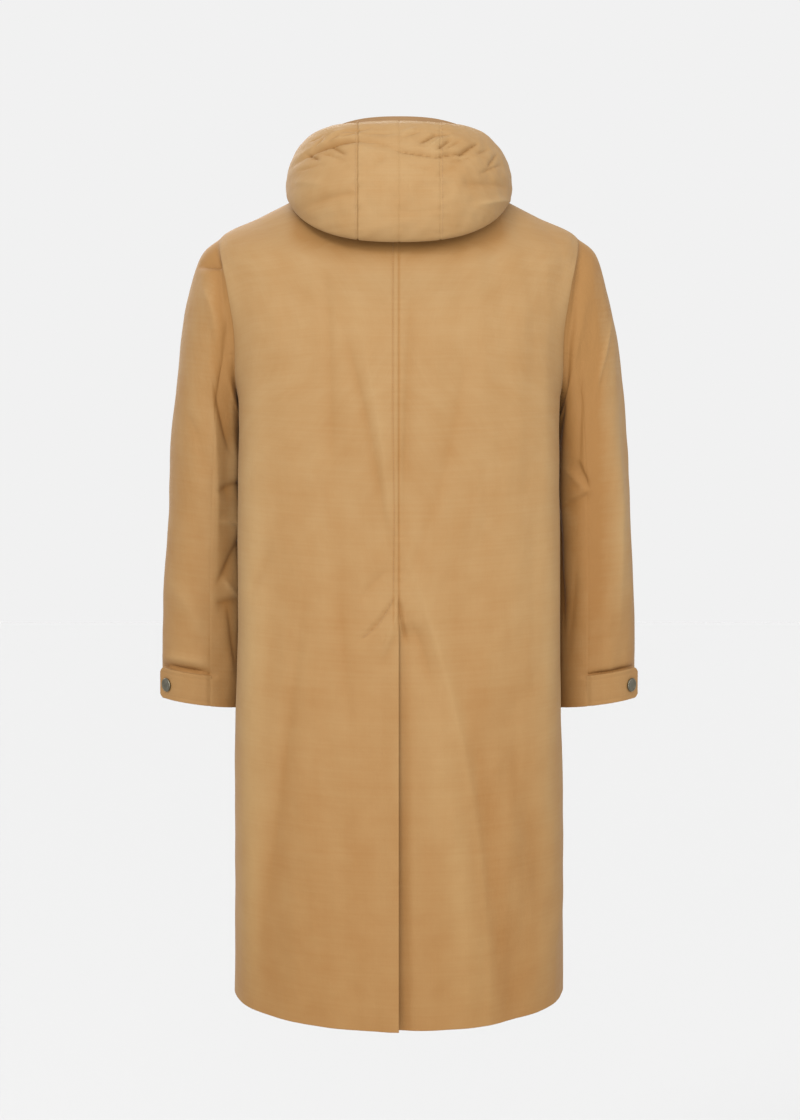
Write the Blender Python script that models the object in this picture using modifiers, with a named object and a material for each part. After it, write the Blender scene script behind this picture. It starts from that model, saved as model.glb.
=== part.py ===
"""A long hooded parka in tan cotton, in the hollow form it has when worn.

Metres, +Z up. The wearer faces -Y and +X is the wearer's left. The origin is the middle of the neck, level
with the neck side points of the shoulder seams. Every cloth piece is a thin wall on a surface lofted through
garment rings.
"""
import math

import bpy
import numpy as np
from mathutils import Matrix, Vector

# Cloth and seams
WALL = 0.0016
SEAM_GAP = 0.0003
NORMAL_STEP = 0.002
TILT_EASE = 0.22
SHARP_ANGLE = math.radians(40.0)

# Rings of the coat, from the neck seam down to the hem. half_width is reached at width_y; seam_y is where the
# shoulder seam, the middle of the armhole and the side seam run; the z columns give the ring's height at the
# side, the centre back and the centre front; squareness 2 is an ellipse.
COAT_COLUMNS = (
    "half_width", "width_y", "seam_y", "back_y", "front_y", "side_z", "back_z", "front_z", "squareness",
)
COAT_RINGS = {
    "neck seam": (0.0840, -0.004, -0.004, 0.073, -0.086, 0.0000, -0.012, -0.076, 2.00),
    "yoke": (0.1350, -0.003, -0.003, 0.099, -0.098, -0.0295, -0.054, -0.104, 2.10),
    "shoulder": (0.1900, -0.002, -0.002, 0.119, -0.110, -0.0580, -0.098, -0.135, 2.20),
    "shoulder tip": (0.2430, 0.001, 0.000, 0.133, -0.120, -0.0855, -0.140, -0.168, 2.25),
    "armhole upper": (0.2520, 0.010, 0.000, 0.142, -0.128, -0.1330, -0.187, -0.206, 2.25),
    "armhole middle": (0.2310, 0.022, -0.004, 0.148, -0.133, -0.2080, -0.235, -0.250, 2.50),
    "armhole lower": (0.2205, 0.036, -0.009, 0.150, -0.136, -0.2750, -0.285, -0.290, 2.50),
    "underarm": (0.2165, 0.046, -0.014, 0.150, -0.137, -0.3300, -0.335, -0.335, 2.45),
    "waist": (0.2160, 0.046, -0.015, 0.146, -0.139, -0.5000, -0.500, -0.500, 2.40),
    "vent top": (0.2180, 0.041, -0.015, 0.150, -0.145, -0.6300, -0.630, -0.630, 2.35),
    "thigh": (0.2225, 0.032, -0.012, 0.158, -0.152, -0.8200, -0.820, -0.820, 2.26),
    "knee": (0.2255, 0.023, -0.010, 0.164, -0.158, -1.0000, -1.003, -1.000, 2.18),
    "hem": (0.2270, 0.015, -0.010, 0.168, -0.160, -1.1200, -1.141, -1.125, 2.08),
}
SHOULDER_TIP_ROW = 3.0
UNDERARM_ROW = 7.0
HEM_ROW = 12.0
CENTRE_SPREAD = 0.8
BODY_PARTING_ROWS = 0.003
ARMHOLE_BACK_REACH = math.radians(20.0)
ARMHOLE_FRONT_REACH = math.radians(23.0)

# Centre back vent and lapped fly front, widths measured from the centre line
VENT_TOP_ROW = 8.78
VENT_EASE_ROWS = 0.16
VENT_UNDERLAP = 0.045
VENT_DIP = 0.0046
VENT_DIP_WIDTH = 0.060
FRONT_OVERLAP = 0.028
FRONT_UNDERLAP = 0.030
FRONT_DIP = 0.0046
FRONT_DIP_WIDTH = 0.050

# Rings of one sleeve below the armhole. The outer and inner points give its outline seen from the back, mid_y
# and half_depth its reach front to back.
SLEEVE_COLUMNS = ("outer_x", "outer_z", "inner_x", "inner_z", "mid_y", "half_depth")
SLEEVE_RINGS = {
    "cap": (0.2680, -0.105, 0.2140, -0.338, -0.010, 0.085),
    "cap low": (0.2805, -0.135, 0.2145, -0.347, -0.014, 0.086),
    "cap end": (0.2920, -0.176, 0.2148, -0.358, -0.017, 0.0855),
    "upper arm": (0.3005, -0.220, 0.2150, -0.372, -0.020, 0.0845),
    "biceps": (0.3070, -0.280, 0.2155, -0.394, -0.023, 0.0830),
    "above elbow": (0.3130, -0.340, 0.2160, -0.425, -0.025, 0.0800),
    "elbow": (0.3180, -0.410, 0.2165, -0.466, -0.027, 0.0765),
    "below elbow": (0.3225, -0.480, 0.2170, -0.516, -0.029, 0.0720),
    "forearm": (0.3265, -0.550, 0.2175, -0.575, -0.031, 0.0665),
    "forearm low": (0.3290, -0.620, 0.2178, -0.639, -0.033, 0.0600),
    "wrist": (0.3300, -0.677, 0.2180, -0.692, -0.034, 0.0550),
    "cuff": (0.3300, -0.719, 0.2185, -0.7335, -0.035, 0.0510),
}
SLEEVE_START = 0.045
SLEEVE_PARTING_ROWS = 0.006
CUFF_ROW = 12.0
HINDARM_SEAM = math.radians(105.0)
FOREARM_SEAM = math.radians(-120.0)

# Rings of the hood as it lies folded down, from the neck seam under the fold and up to the rim
HOOD_COLUMNS = ("half_width", "width_y", "back_y", "front_y", "side_z", "back_z", "front_z", "squareness")
HOOD_RINGS = {
    "neck seam": (0.0842, -0.004, 0.0734, -0.0862, 0.0022, -0.0098, -0.0734, 2.00),
    "stand": (0.1040, -0.002, 0.0960, -0.0930, -0.0040, -0.0230, -0.0650, 2.10),
    "under layer": (0.1300, 0.000, 0.1240, -0.0990, -0.0165, -0.0640, -0.0540, 2.25),
    "fold": (0.1490, 0.003, 0.1525, -0.1040, -0.0265, -0.1045, -0.0440, 2.40),
    "belly low": (0.1535, 0.006, 0.1690, -0.1070, -0.0190, -0.0925, -0.0360, 2.45),
    "belly": (0.1530, 0.008, 0.1735, -0.1085, -0.0050, -0.0560, -0.0290, 2.50),
    "belly high": (0.1490, 0.008, 0.1680, -0.1085, 0.0105, -0.0180, -0.0225, 2.50),
    "below crease": (0.1415, 0.006, 0.1510, -0.1070, 0.0255, 0.0180, -0.0170, 2.50),
    "crease": (0.1325, 0.004, 0.1330, -0.1045, 0.0365, 0.0410, -0.0125, 2.50),
    "roll": (0.1220, 0.002, 0.1150, -0.1010, 0.0450, 0.0560, -0.0090, 2.45),
    "rim": (0.1080, 0.000, 0.0880, -0.0960, 0.0515, 0.0675, -0.0070, 2.35),
}
RIM_ROW = 10.0
HOOD_SEAM_X = 0.054
FACING_ROWS = (8.7, 10.17)
FACING_CLEAR = 0.0012
FACING_WALL = 0.0014

# Cuff tab and snap
TAB_START = math.radians(106.0)
TAB_BEND_END = math.radians(40.0)
TAB_FREE_LENGTH = 0.020
TAB_FREE_SHARES = np.array([0.33, 0.62, 1.0])
TAB_ROWS = (10.98, 11.99)
TAB_CORNER = 0.0070
TAB_CORNER_CUT = 0.26
TAB_WALL = 0.0022
TAB_CLEAR = 0.0005
SNAP_PAST_BEND = 0.003
SNAP_RADIUS = 0.0095
SNAP_HEIGHT = 0.0032
SNAP_EDGE = 0.0011
SNAP_SIDES = 28

# Largest folds: a ridge has a positive depth, a trough a negative one. face is back or front, side is the
# wearer's side, x is measured outwards from the centre line. A fold is half faded at its ends.
FOLD_FADE = 0.35
COAT_FOLD_ROWS = (7.0, 7.6)
SLEEVE_FOLD_ROWS = (1.0, 3.0)
SLEEVE_FACE_BLEND = 0.5
FOLD_COLUMNS = ("face", "side", "start_x", "start_z", "end_x", "end_z", "width", "depth")
COAT_FOLDS = (
    ("back", "right", 0.040, -0.690, 0.116, -1.160, 0.026, 0.0060),
    ("back", "right", 0.090, -0.700, 0.154, -1.160, 0.024, -0.0050),
    ("back", "left", 0.035, -0.790, 0.100, -1.070, 0.028, -0.0030),
    ("back", "left", 0.150, -0.690, 0.178, -1.160, 0.022, -0.0040),
    ("back", "left", 0.072, -0.540, 0.066, -0.700, 0.020, -0.0030),
    ("back", "right", 0.150, -0.420, 0.160, -0.640, 0.024, 0.0025),
    ("front", "left", 0.090, -0.640, 0.110, -1.160, 0.030, -0.0045),
    ("front", "left", 0.165, -0.520, 0.175, -1.160, 0.026, 0.0040),
    ("front", "right", 0.075, -0.600, 0.100, -1.160, 0.028, -0.0045),
    ("front", "right", 0.150, -0.560, 0.172, -1.160, 0.026, 0.0035),
)
SLEEVE_FOLDS = (
    ("back", "left", 0.236, -0.330, 0.233, -0.640, 0.010, -0.0035),
    ("back", "left", 0.236, -0.490, 0.252, -0.590, 0.012, 0.0030),
    ("back", "right", 0.236, -0.300, 0.240, -0.480, 0.011, -0.0040),
    ("back", "right", 0.225, -0.470, 0.262, -0.430, 0.011, 0.0030),
    ("front", "left", 0.240, -0.420, 0.275, -0.440, 0.014, -0.0035),
    ("front", "left", 0.240, -0.470, 0.280, -0.500, 0.014, -0.0030),
    ("front", "right", 0.240, -0.410, 0.275, -0.435, 0.014, -0.0035),
    ("front", "right", 0.240, -0.475, 0.280, -0.500, 0.014, -0.0030),
)

# Columns and rows of each wall's grid
HALF_PANEL_COLUMNS = 9
LAP_COLUMNS = 2
SHOULDER_STEPS = 6
ARMHOLE_STEPS = 12
SKIRT_STEPS = 12
SLEEVE_STEPS = 20
HOOD_STEPS = 17
HOOD_CENTRE_COLUMNS = 4
HOOD_SIDE_COLUMNS = 12
FACING_STEPS = 3
TAB_BEND_STEPS = 8
TAB_STEPS = 5

FINISHES = {
    "shell cloth": ((0.52, 0.31, 0.15), 0.88, 0.0),
    "sleeve cloth": ((0.47, 0.27, 0.12), 0.88, 0.0),
    "hood cloth": ((0.56, 0.35, 0.18), 0.88, 0.0),
    "facing cloth": ((0.36, 0.20, 0.09), 0.90, 0.0),
    "tab cloth": ((0.46, 0.27, 0.12), 0.88, 0.0),
    "gunmetal": ((0.13, 0.12, 0.09), 0.38, 0.9),
}


def table_columns(names, rings):
    """The rows of a ring table as one array for each named column."""
    return {name: np.array([row[index] for row in rings.values()]) for index, name in enumerate(names)}


COAT = table_columns(COAT_COLUMNS, COAT_RINGS)
SLEEVE = table_columns(SLEEVE_COLUMNS, SLEEVE_RINGS)
HOOD = table_columns(HOOD_COLUMNS, HOOD_RINGS)


def smooth(values, at):
    """A smooth cubic through values that stand at 0, 1, 2 and so on along their first axis."""
    step = np.diff(values, axis=0)
    slope = np.concatenate([step[:1], (step[:-1] + step[1:]) / 2, step[-1:]])
    result = np.zeros(np.broadcast_shapes(np.shape(at), np.shape(values[0])))
    span = np.clip(np.floor(at).astype(int), 0, len(step) - 1)
    for index in range(len(step)):
        part = at - index
        start = values[index] + part * slope[index]
        bend = 3 * step[index] - 2 * slope[index] - slope[index + 1]
        turn = slope[index] + slope[index + 1] - 2 * step[index]
        result = np.where(span == index, start + part**2 * bend + part**3 * turn, result)
    return result


def ease(value):
    """0 below 0, 1 above 1 and a smooth step between."""
    value = np.clip(value, 0.0, 1.0)
    return value * value * (3.0 - 2.0 * value)


def ring_point(rings, row, angle):
    """A point of a garment ring on the wearer's left, at 90 degrees in the centre back and -90 in front."""
    size = {name: smooth(values, row) for name, values in rings.items()}
    at_back = np.sin(angle) >= 0
    depth = np.where(at_back, size["back_y"] - size["width_y"], size["width_y"] - size["front_y"])
    end_z = np.where(at_back, size["back_z"], size["front_z"])
    power = size["squareness"]
    across = (np.abs(np.cos(angle)) / size["half_width"]) ** power
    along = (np.abs(np.sin(angle)) / depth) ** power
    reach = (across + along) ** (-1.0 / power)
    share = np.abs(reach * np.sin(angle)) / depth
    tilt = (np.hypot(share, TILT_EASE) - TILT_EASE) / (math.hypot(1.0, TILT_EASE) - TILT_EASE)
    x = reach * np.cos(angle)
    y = size["width_y"] + reach * np.sin(angle)
    z = size["side_z"] + (end_z - size["side_z"]) * tilt
    return np.stack([x, y, z], axis=-1)


def angle_at_x(rings, row, x, face):
    """The angle at which a ring passes x on its back (face 1) or its front (face -1)."""
    size = {name: smooth(values, row) for name, values in rings.items()}
    end_y = np.where(face > 0, size["back_y"], size["front_y"])
    depth = np.abs(end_y - size["width_y"])
    power = size["squareness"]
    rise = depth * (1.0 - (np.abs(x) / size["half_width"]) ** power) ** (1.0 / power)
    return np.arctan2(face * rise, x)


def seam_angle(row):
    """The angle of the shoulder seam, the middle of the armhole and the side seam."""
    size = {name: smooth(values, row) for name, values in COAT.items()}
    offset = size["seam_y"] - size["width_y"]
    depth = np.where(offset >= 0, size["back_y"] - size["width_y"], size["width_y"] - size["front_y"])
    power = size["squareness"]
    x = size["half_width"] * (1.0 - (np.abs(offset) / depth) ** power) ** (1.0 / power)
    return np.arctan2(offset, x)


def armhole_row(turn):
    """The coat row that the armhole seam passes at a turn around the sleeve."""
    return SHOULDER_TIP_ROW + (UNDERARM_ROW - SHOULDER_TIP_ROW) * (1.0 - np.cos(turn)) / 2.0


def armhole_angle(turn):
    """The coat angle of the armhole seam: turn 0 is the shoulder tip, 90 degrees the back, 180 underneath."""
    reach = np.where(np.sin(turn) >= 0, ARMHOLE_BACK_REACH, ARMHOLE_FRONT_REACH)
    return seam_angle(armhole_row(turn)) + np.sin(turn) * reach


def coat_point(row, angle):
    """A point of the coat's body on the wearer's left."""
    return ring_point(COAT, row, angle)


def hood_point(row, angle):
    """A point of the folded hood on the wearer's left."""
    return ring_point(HOOD, row, angle)


def sleeve_point(row, turn):
    """A point of the left sleeve. Row 0 is the armhole seam and the last row the cuff."""
    rings = [coat_point(armhole_row(turn), armhole_angle(turn))]
    for index in range(len(SLEEVE["outer_x"])):
        size = {name: values[index] for name, values in SLEEVE.items()}
        x = (size["outer_x"] + size["inner_x"]) / 2 + (size["outer_x"] - size["inner_x"]) / 2 * np.cos(turn)
        y = size["mid_y"] + size["half_depth"] * np.sin(turn)
        z = (size["outer_z"] + size["inner_z"]) / 2 + (size["outer_z"] - size["inner_z"]) / 2 * np.cos(turn)
        rings.append(np.stack([x, y, z], axis=-1))
    return smooth(np.stack(rings), np.asarray(row)[..., None])


def outward(surface, row, angle, sense):
    """Unit normals of a surface, turned out of the cloth by sense."""
    along_row = surface(row + NORMAL_STEP, angle) - surface(row - NORMAL_STEP, angle)
    along_angle = surface(row, angle + NORMAL_STEP) - surface(row, angle - NORMAL_STEP)
    normal = np.cross(along_angle, along_row) * sense
    return normal / np.linalg.norm(normal, axis=-1, keepdims=True)


def fold_lift(points, folds, face, side):
    """How far the folds of one face and side raise the cloth at points seen from the back."""
    lift = np.zeros(points.shape[:-1])
    for row in folds:
        fold = dict(zip(FOLD_COLUMNS, row))
        if (fold["face"], fold["side"]) != (face, side):
            continue
        start = np.array([fold["start_x"], fold["start_z"]])
        run = np.array([fold["end_x"], fold["end_z"]]) - start
        from_start = points[..., [0, 2]] - start
        along = (from_start @ run) / (run @ run)
        across = (from_start[..., 0] * run[1] - from_start[..., 1] * run[0]) / np.linalg.norm(run)
        taper = ease(0.5 + along / FOLD_FADE) * ease(0.5 + (1.0 - along) / FOLD_FADE)
        lift += fold["depth"] * np.exp(-((across / fold["width"]) ** 2)) * taper
    return lift


def fade_in(row, first_last):
    """How much of the folds shows at a row: none before the first row and all after the last."""
    first, last = first_last
    return ease((row - first) / (last - first))


def make_finish(name):
    """One plain cloth or metal finish."""
    colour, roughness, metallic = FINISHES[name]
    finish = bpy.data.materials.new(name)
    finish.use_nodes = True
    shader = finish.node_tree.nodes["Principled BSDF"]
    shader.inputs["Base Color"].default_value = (*colour, 1.0)
    shader.inputs["Roughness"].default_value = roughness
    shader.inputs["Metallic"].default_value = metallic
    return finish


def add_object(name, mesh, finish):
    """A node of the parka with its own finish."""
    mesh.materials.append(make_finish(finish))
    piece = bpy.data.objects.new(name, mesh)
    bpy.data.collections["parka"].objects.link(piece)
    return piece


def wall_mesh(name, outer, inner, kept, flipped):
    """A closed wall between two grids of points, over the grid cells that are kept."""
    rows, columns = outer.shape[:2]
    number = np.full((2, rows, columns), -1)
    used = np.zeros((rows, columns), bool)
    for corner in ((0, 0), (0, 1), (1, 0), (1, 1)):
        used[corner[0]:rows - 1 + corner[0], corner[1]:columns - 1 + corner[1]] |= kept
    number[0][used] = np.arange(used.sum())
    number[1][used] = used.sum() + np.arange(used.sum())
    faces = []
    for r, c in np.argwhere(kept):
        corners = ((r, c), (r, c + 1), (r + 1, c + 1), (r + 1, c))
        neighbours = ((r - 1, c), (r, c + 1), (r + 1, c), (r, c - 1))
        faces.append([number[0][at] for at in reversed(corners)])
        faces.append([number[1][at] for at in corners])
        for index, beside in enumerate(neighbours):
            inside = 0 <= beside[0] < rows - 1 and 0 <= beside[1] < columns - 1
            if inside and kept[beside]:
                continue
            first, second = corners[index], corners[(index + 1) % 4]
            faces.append([number[0][first], number[0][second], number[1][second], number[1][first]])
    if flipped:
        faces = [list(reversed(face)) for face in faces]
    mesh = bpy.data.meshes.new(name)
    mesh.from_pydata(np.concatenate([outer[used], inner[used]]).tolist(), [], faces)
    mesh.shade_smooth()
    mesh.set_sharp_from_angle(angle=SHARP_ANGLE)
    return mesh


def cloth_panel(name, finish, surface, row, angle, side, sense, lift=0.0, wall=WALL, kept=None):
    """A cloth wall over a grid of rows and angles, raised by lift and mirrored for the right side."""
    base = surface(row, angle)
    normal = outward(surface, row, angle, sense)
    lift = np.broadcast_to(lift, row.shape)[..., None]
    outer = base + normal * lift
    inner = base + normal * (lift - wall)
    if kept is None:
        kept = np.ones((row.shape[0] - 1, row.shape[1] - 1), bool)
    if side == "right":
        outer = outer * (-1, 1, 1)
        inner = inner * (-1, 1, 1)
    flipped = (side == "right") != (sense > 0)
    return add_object(name, wall_mesh(name, outer, inner, kept, flipped), finish)


def edge_rows():
    """Rows of a body panel at its outer edge: the shoulder, even turns of the armhole, then the skirt."""
    shoulder = np.linspace(0.0, SHOULDER_TIP_ROW, SHOULDER_STEPS, endpoint=False)
    armhole = armhole_row(np.linspace(0.0, math.pi, ARMHOLE_STEPS, endpoint=False))
    skirt = np.linspace(UNDERARM_ROW, HEM_ROW, SKIRT_STEPS + 1)
    return np.concatenate([shoulder, armhole, skirt])


def centre_rows():
    """The same rows at the centre line, where they fan out from the armhole."""
    fan_top = SHOULDER_TIP_ROW - CENTRE_SPREAD
    shoulder = np.linspace(0.0, fan_top, SHOULDER_STEPS, endpoint=False)
    armhole = np.linspace(fan_top, UNDERARM_ROW, ARMHOLE_STEPS, endpoint=False)
    skirt = np.linspace(UNDERARM_ROW, HEM_ROW, SKIRT_STEPS + 1)
    return np.concatenate([shoulder, armhole, skirt])


def coat_edge(rows, face):
    """The outer edge of a back (face 1) or front (face -1) panel: shoulder seam, armhole, then side seam."""
    share = np.clip((rows - SHOULDER_TIP_ROW) / (UNDERARM_ROW - SHOULDER_TIP_ROW), 0.0, 1.0)
    turn = np.arccos(1.0 - 2.0 * share)
    reach = ARMHOLE_BACK_REACH if face > 0 else ARMHOLE_FRONT_REACH
    half_gap = SEAM_GAP / 2 / smooth(COAT["half_width"], rows)
    return seam_angle(rows) + face * (np.sin(turn) * reach + half_gap)


def spread(first, last, count):
    """A grid whose rows run evenly from a first to a last angle."""
    share = np.linspace(0.0, 1.0, count + 1)
    return first[:, None] + (last - first)[:, None] * share


def two_lengths(names, finish, surface, row, angle, side, lift, parting, gap, kept=None):
    """A panel as an upper and a lower solid that part along one row of its grid, a fine gap between them."""
    upper = row[:parting + 1].copy()
    upper[-1] -= gap / 2
    lower = row[parting:].copy()
    lower[0] += gap / 2
    if kept is None:
        kept = np.ones((row.shape[0] - 1, row.shape[1] - 1), bool)
    above = slice(None, parting + 1)
    below = slice(parting, None)
    parts = ((upper, above, kept[:parting]), (lower, below, kept[parting:]))
    for name, (rows, span, cells) in zip(names, parts):
        cloth_panel(f"{name}_{side}", finish, surface, rows, angle[span], side, -1, lift[span], kept=cells)


def body_panel(name, side, row, angle, lift, kept=None):
    """A back or front, parted level with the underarm."""
    names = (f"{name}_upper", f"{name}_lower")
    parting = SHOULDER_STEPS + ARMHOLE_STEPS
    two_lengths(names, "shell cloth", coat_point, row, angle, side, lift, parting, BODY_PARTING_ROWS, kept)


def back_panel(side):
    """One half of the back. The left one laps over the vent and the right one carries its underlap."""
    rows = centre_rows()
    centre = angle_at_x(COAT, rows, SEAM_GAP / 2, 1)
    angle = spread(coat_edge(edge_rows(), 1), centre, HALF_PANEL_COLUMNS)
    row = spread(edge_rows(), rows, HALF_PANEL_COLUMNS)
    kept = None
    if side == "right":
        lap = spread(centre, angle_at_x(COAT, rows, -VENT_UNDERLAP, 1), LAP_COLUMNS)
        angle = np.concatenate([angle, lap[:, 1:]], axis=1)
        row = np.concatenate([row, spread(rows, rows, LAP_COLUMNS)[:, 1:]], axis=1)
        kept = np.ones((angle.shape[0] - 1, angle.shape[1] - 1), bool)
        kept[:, HALF_PANEL_COLUMNS:] = (rows[:-1] > VENT_TOP_ROW + VENT_EASE_ROWS)[:, None]
    points = coat_point(row, angle)
    lift = fold_lift(points, COAT_FOLDS, "back", side)
    opposite = points * (-1, 1, 1)
    other = "left" if side == "right" else "right"
    lift += fold_lift(opposite, COAT_FOLDS, "back", other)
    lift *= fade_in(row, COAT_FOLD_ROWS)
    if side == "right":
        below = ease((row - VENT_TOP_ROW) / VENT_EASE_ROWS)
        lift -= VENT_DIP * below * ease(1.0 - points[..., 0] / VENT_DIP_WIDTH)
    body_panel("back", side, row, angle, lift, kept)


def front_panel(side):
    """One front. The left one laps over the right one at the fly."""
    lap = FRONT_OVERLAP if side == "left" else FRONT_UNDERLAP
    rows = centre_rows()
    angle = spread(angle_at_x(COAT, rows, -lap, -1), coat_edge(edge_rows(), -1), HALF_PANEL_COLUMNS + 1)
    row = spread(rows, edge_rows(), HALF_PANEL_COLUMNS + 1)
    points = coat_point(row, angle)
    lift = fold_lift(points, COAT_FOLDS, "front", side) * fade_in(row, COAT_FOLD_ROWS)
    if side == "right":
        lift = lift - FRONT_DIP * ease(1.0 - (points[..., 0] - FRONT_OVERLAP) / FRONT_DIP_WIDTH)
    body_panel("front", side, row, angle, lift)


def sleeve_panel(name, side, first, last):
    """One piece of a two-piece sleeve between two seams. The under sleeve parts in two at about the elbow."""
    columns = round((last - first) / (math.pi / ARMHOLE_STEPS))
    rows = np.linspace(SLEEVE_START, CUFF_ROW, SLEEVE_STEPS + 1)
    turn = np.broadcast_to(np.linspace(first, last, columns + 1), (len(rows), columns + 1))
    row = np.broadcast_to(rows[:, None], turn.shape)
    half_gap = SEAM_GAP / 2 / np.interp(row, (0.0, CUFF_ROW), SLEEVE["half_depth"][[0, -1]])
    turn = turn + half_gap * np.where(np.arange(columns + 1) == 0, 1.0, 0.0)
    turn = turn - half_gap * np.where(np.arange(columns + 1) == columns, 1.0, 0.0)
    points = sleeve_point(row, turn)
    behind = ease(np.sin(turn) / SLEEVE_FACE_BLEND)
    ahead = ease(-np.sin(turn) / SLEEVE_FACE_BLEND)
    lift = fold_lift(points, SLEEVE_FOLDS, "back", side) * behind
    lift += fold_lift(points, SLEEVE_FOLDS, "front", side) * ahead
    lift *= fade_in(row, SLEEVE_FOLD_ROWS)
    if name == "sleeve_under":
        names = ("sleeve_under_top", "sleeve_under_low")
        parting = SLEEVE_STEPS // 2
        two_lengths(names, "sleeve cloth", sleeve_point, row, turn, side, lift, parting, SLEEVE_PARTING_ROWS)
    else:
        cloth_panel(f"{name}_{side}", "sleeve cloth", sleeve_point, row, turn, side, -1, lift)


def hood_rows():
    """Rows of a hood panel from the neck seam to the rim."""
    return np.linspace(0.0, RIM_ROW, HOOD_STEPS + 1)


def hood_panel(name, side, angle):
    """One panel of the hood on a grid of angles."""
    row = np.broadcast_to(hood_rows()[:, None], angle.shape)
    cloth_panel(f"{name}_{side}", "hood cloth", hood_point, row, angle, side, 1)


def hood_panels(side):
    """The centre and the side panel of one half of the hood."""
    rows = hood_rows()
    centre = angle_at_x(HOOD, rows, SEAM_GAP / 2, 1)
    seam_inside = angle_at_x(HOOD, rows, HOOD_SEAM_X - SEAM_GAP / 2, 1)
    seam_outside = angle_at_x(HOOD, rows, HOOD_SEAM_X + SEAM_GAP / 2, 1)
    front = angle_at_x(HOOD, rows, SEAM_GAP / 2, -1)
    hood_panel("hood_centre", side, spread(seam_inside, centre, HOOD_CENTRE_COLUMNS))
    hood_panel("hood_side", side, spread(front, seam_outside, HOOD_SIDE_COLUMNS))


def hood_facing(side):
    """The band that faces the inside of the hood's rim and shows just above it."""
    rows = np.linspace(*FACING_ROWS, FACING_STEPS + 1)
    front = angle_at_x(HOOD, rows, SEAM_GAP / 2, -1)
    seam = angle_at_x(HOOD, rows, HOOD_SEAM_X, 1)
    centre = angle_at_x(HOOD, rows, SEAM_GAP / 2, 1)
    behind = spread(seam, centre, HOOD_CENTRE_COLUMNS)
    angle = np.concatenate([spread(front, seam, HOOD_SIDE_COLUMNS), behind[:, 1:]], axis=1)
    row = np.broadcast_to(rows[:, None], angle.shape)
    lift = -WALL - FACING_CLEAR
    cloth_panel(f"hood_facing_{side}", "facing cloth", hood_point, row, angle, side, 1, lift, FACING_WALL)


def tab_point(row, travel):
    """A point under the cuff tab: around the sleeve to the end of its bend, then straight off it."""
    turn = np.maximum(TAB_START - travel, TAB_BEND_END)
    past = np.maximum(travel - (TAB_START - TAB_BEND_END), 0.0)
    bend_end = np.full_like(turn, TAB_BEND_END)
    ahead = sleeve_point(row, bend_end - NORMAL_STEP) - sleeve_point(row, bend_end + NORMAL_STEP)
    ahead = ahead / np.linalg.norm(ahead, axis=-1, keepdims=True)
    return sleeve_point(row, turn) + ahead * past[..., None]


def cuff_tab(side):
    """The cuff tab with cut corners, sewn in at the hindarm seam, and the snap cap near its end."""
    bend = TAB_START - TAB_BEND_END
    length = np.append(np.linspace(0.0, bend, TAB_BEND_STEPS + 1), bend + TAB_FREE_LENGTH * TAB_FREE_SHARES)
    across = np.linspace(-1.0, 1.0, TAB_STEPS + 1)
    corner = np.clip((length - bend - TAB_FREE_LENGTH + TAB_CORNER) / TAB_CORNER, 0.0, 1.0)
    half = (TAB_ROWS[1] - TAB_ROWS[0]) / 2
    row = (TAB_ROWS[0] + TAB_ROWS[1]) / 2 + half * across[:, None] * (1.0 - TAB_CORNER_CUT * corner)
    travel = np.broadcast_to(length, row.shape)
    lift = TAB_CLEAR + TAB_WALL
    cloth_panel(f"cuff_tab_{side}", "tab cloth", tab_point, row, travel, side, 1, lift, TAB_WALL)
    cuff_snap(side)


def cuff_snap(side):
    """A round snap cap lying on the cuff tab."""
    row = np.array([[(TAB_ROWS[0] + TAB_ROWS[1]) / 2]])
    travel = np.array([[TAB_START - TAB_BEND_END + SNAP_PAST_BEND]])
    normal = Vector(outward(tab_point, row, travel, 1)[0, 0])
    centre = Vector(tab_point(row, travel)[0, 0])
    centre += normal * (TAB_CLEAR + TAB_WALL + SEAM_GAP + SNAP_HEIGHT / 2)
    if side == "right":
        centre.x = -centre.x
        normal.x = -normal.x
    turn = normal.to_track_quat("Z", "Y").to_matrix().to_4x4()
    bpy.ops.mesh.primitive_cylinder_add(vertices=SNAP_SIDES, radius=SNAP_RADIUS, depth=SNAP_HEIGHT)
    snap = bpy.context.object
    snap.name = f"cuff_snap_{side}"
    snap.matrix_world = Matrix.Translation(centre) @ turn
    snap.data.materials.append(make_finish("gunmetal"))
    round_edge = snap.modifiers.new("rounded edge", "BEVEL")
    round_edge.width = SNAP_EDGE
    round_edge.segments = 2
    snap.data.shade_smooth()
    snap.data.set_sharp_from_angle(angle=SHARP_ANGLE)
    for holder in list(snap.users_collection):
        holder.objects.unlink(snap)
    bpy.data.collections["parka"].objects.link(snap)


def build_parka():
    """Every piece of the parka in one collection."""
    for old in list(bpy.data.objects):
        bpy.data.objects.remove(old)
    parka = bpy.data.collections.new("parka")
    bpy.context.scene.collection.children.link(parka)
    full_turn = 2 * math.pi
    for side in ("left", "right"):
        back_panel(side)
        front_panel(side)
        sleeve_panel("sleeve_upper", side, FOREARM_SEAM, HINDARM_SEAM)
        sleeve_panel("sleeve_under", side, HINDARM_SEAM, FOREARM_SEAM + full_turn)
        cuff_tab(side)
        hood_panels(side)
        hood_facing(side)


build_parka()
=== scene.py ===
"""Looks of a long hooded parka in tan cotton: cloth shells with creases and painted shade, sewing, snap caps,
stage and light.
"""
import math

import bpy
import numpy as np
from mathutils import Matrix, Vector
from mathutils.kdtree import KDTree


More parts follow.
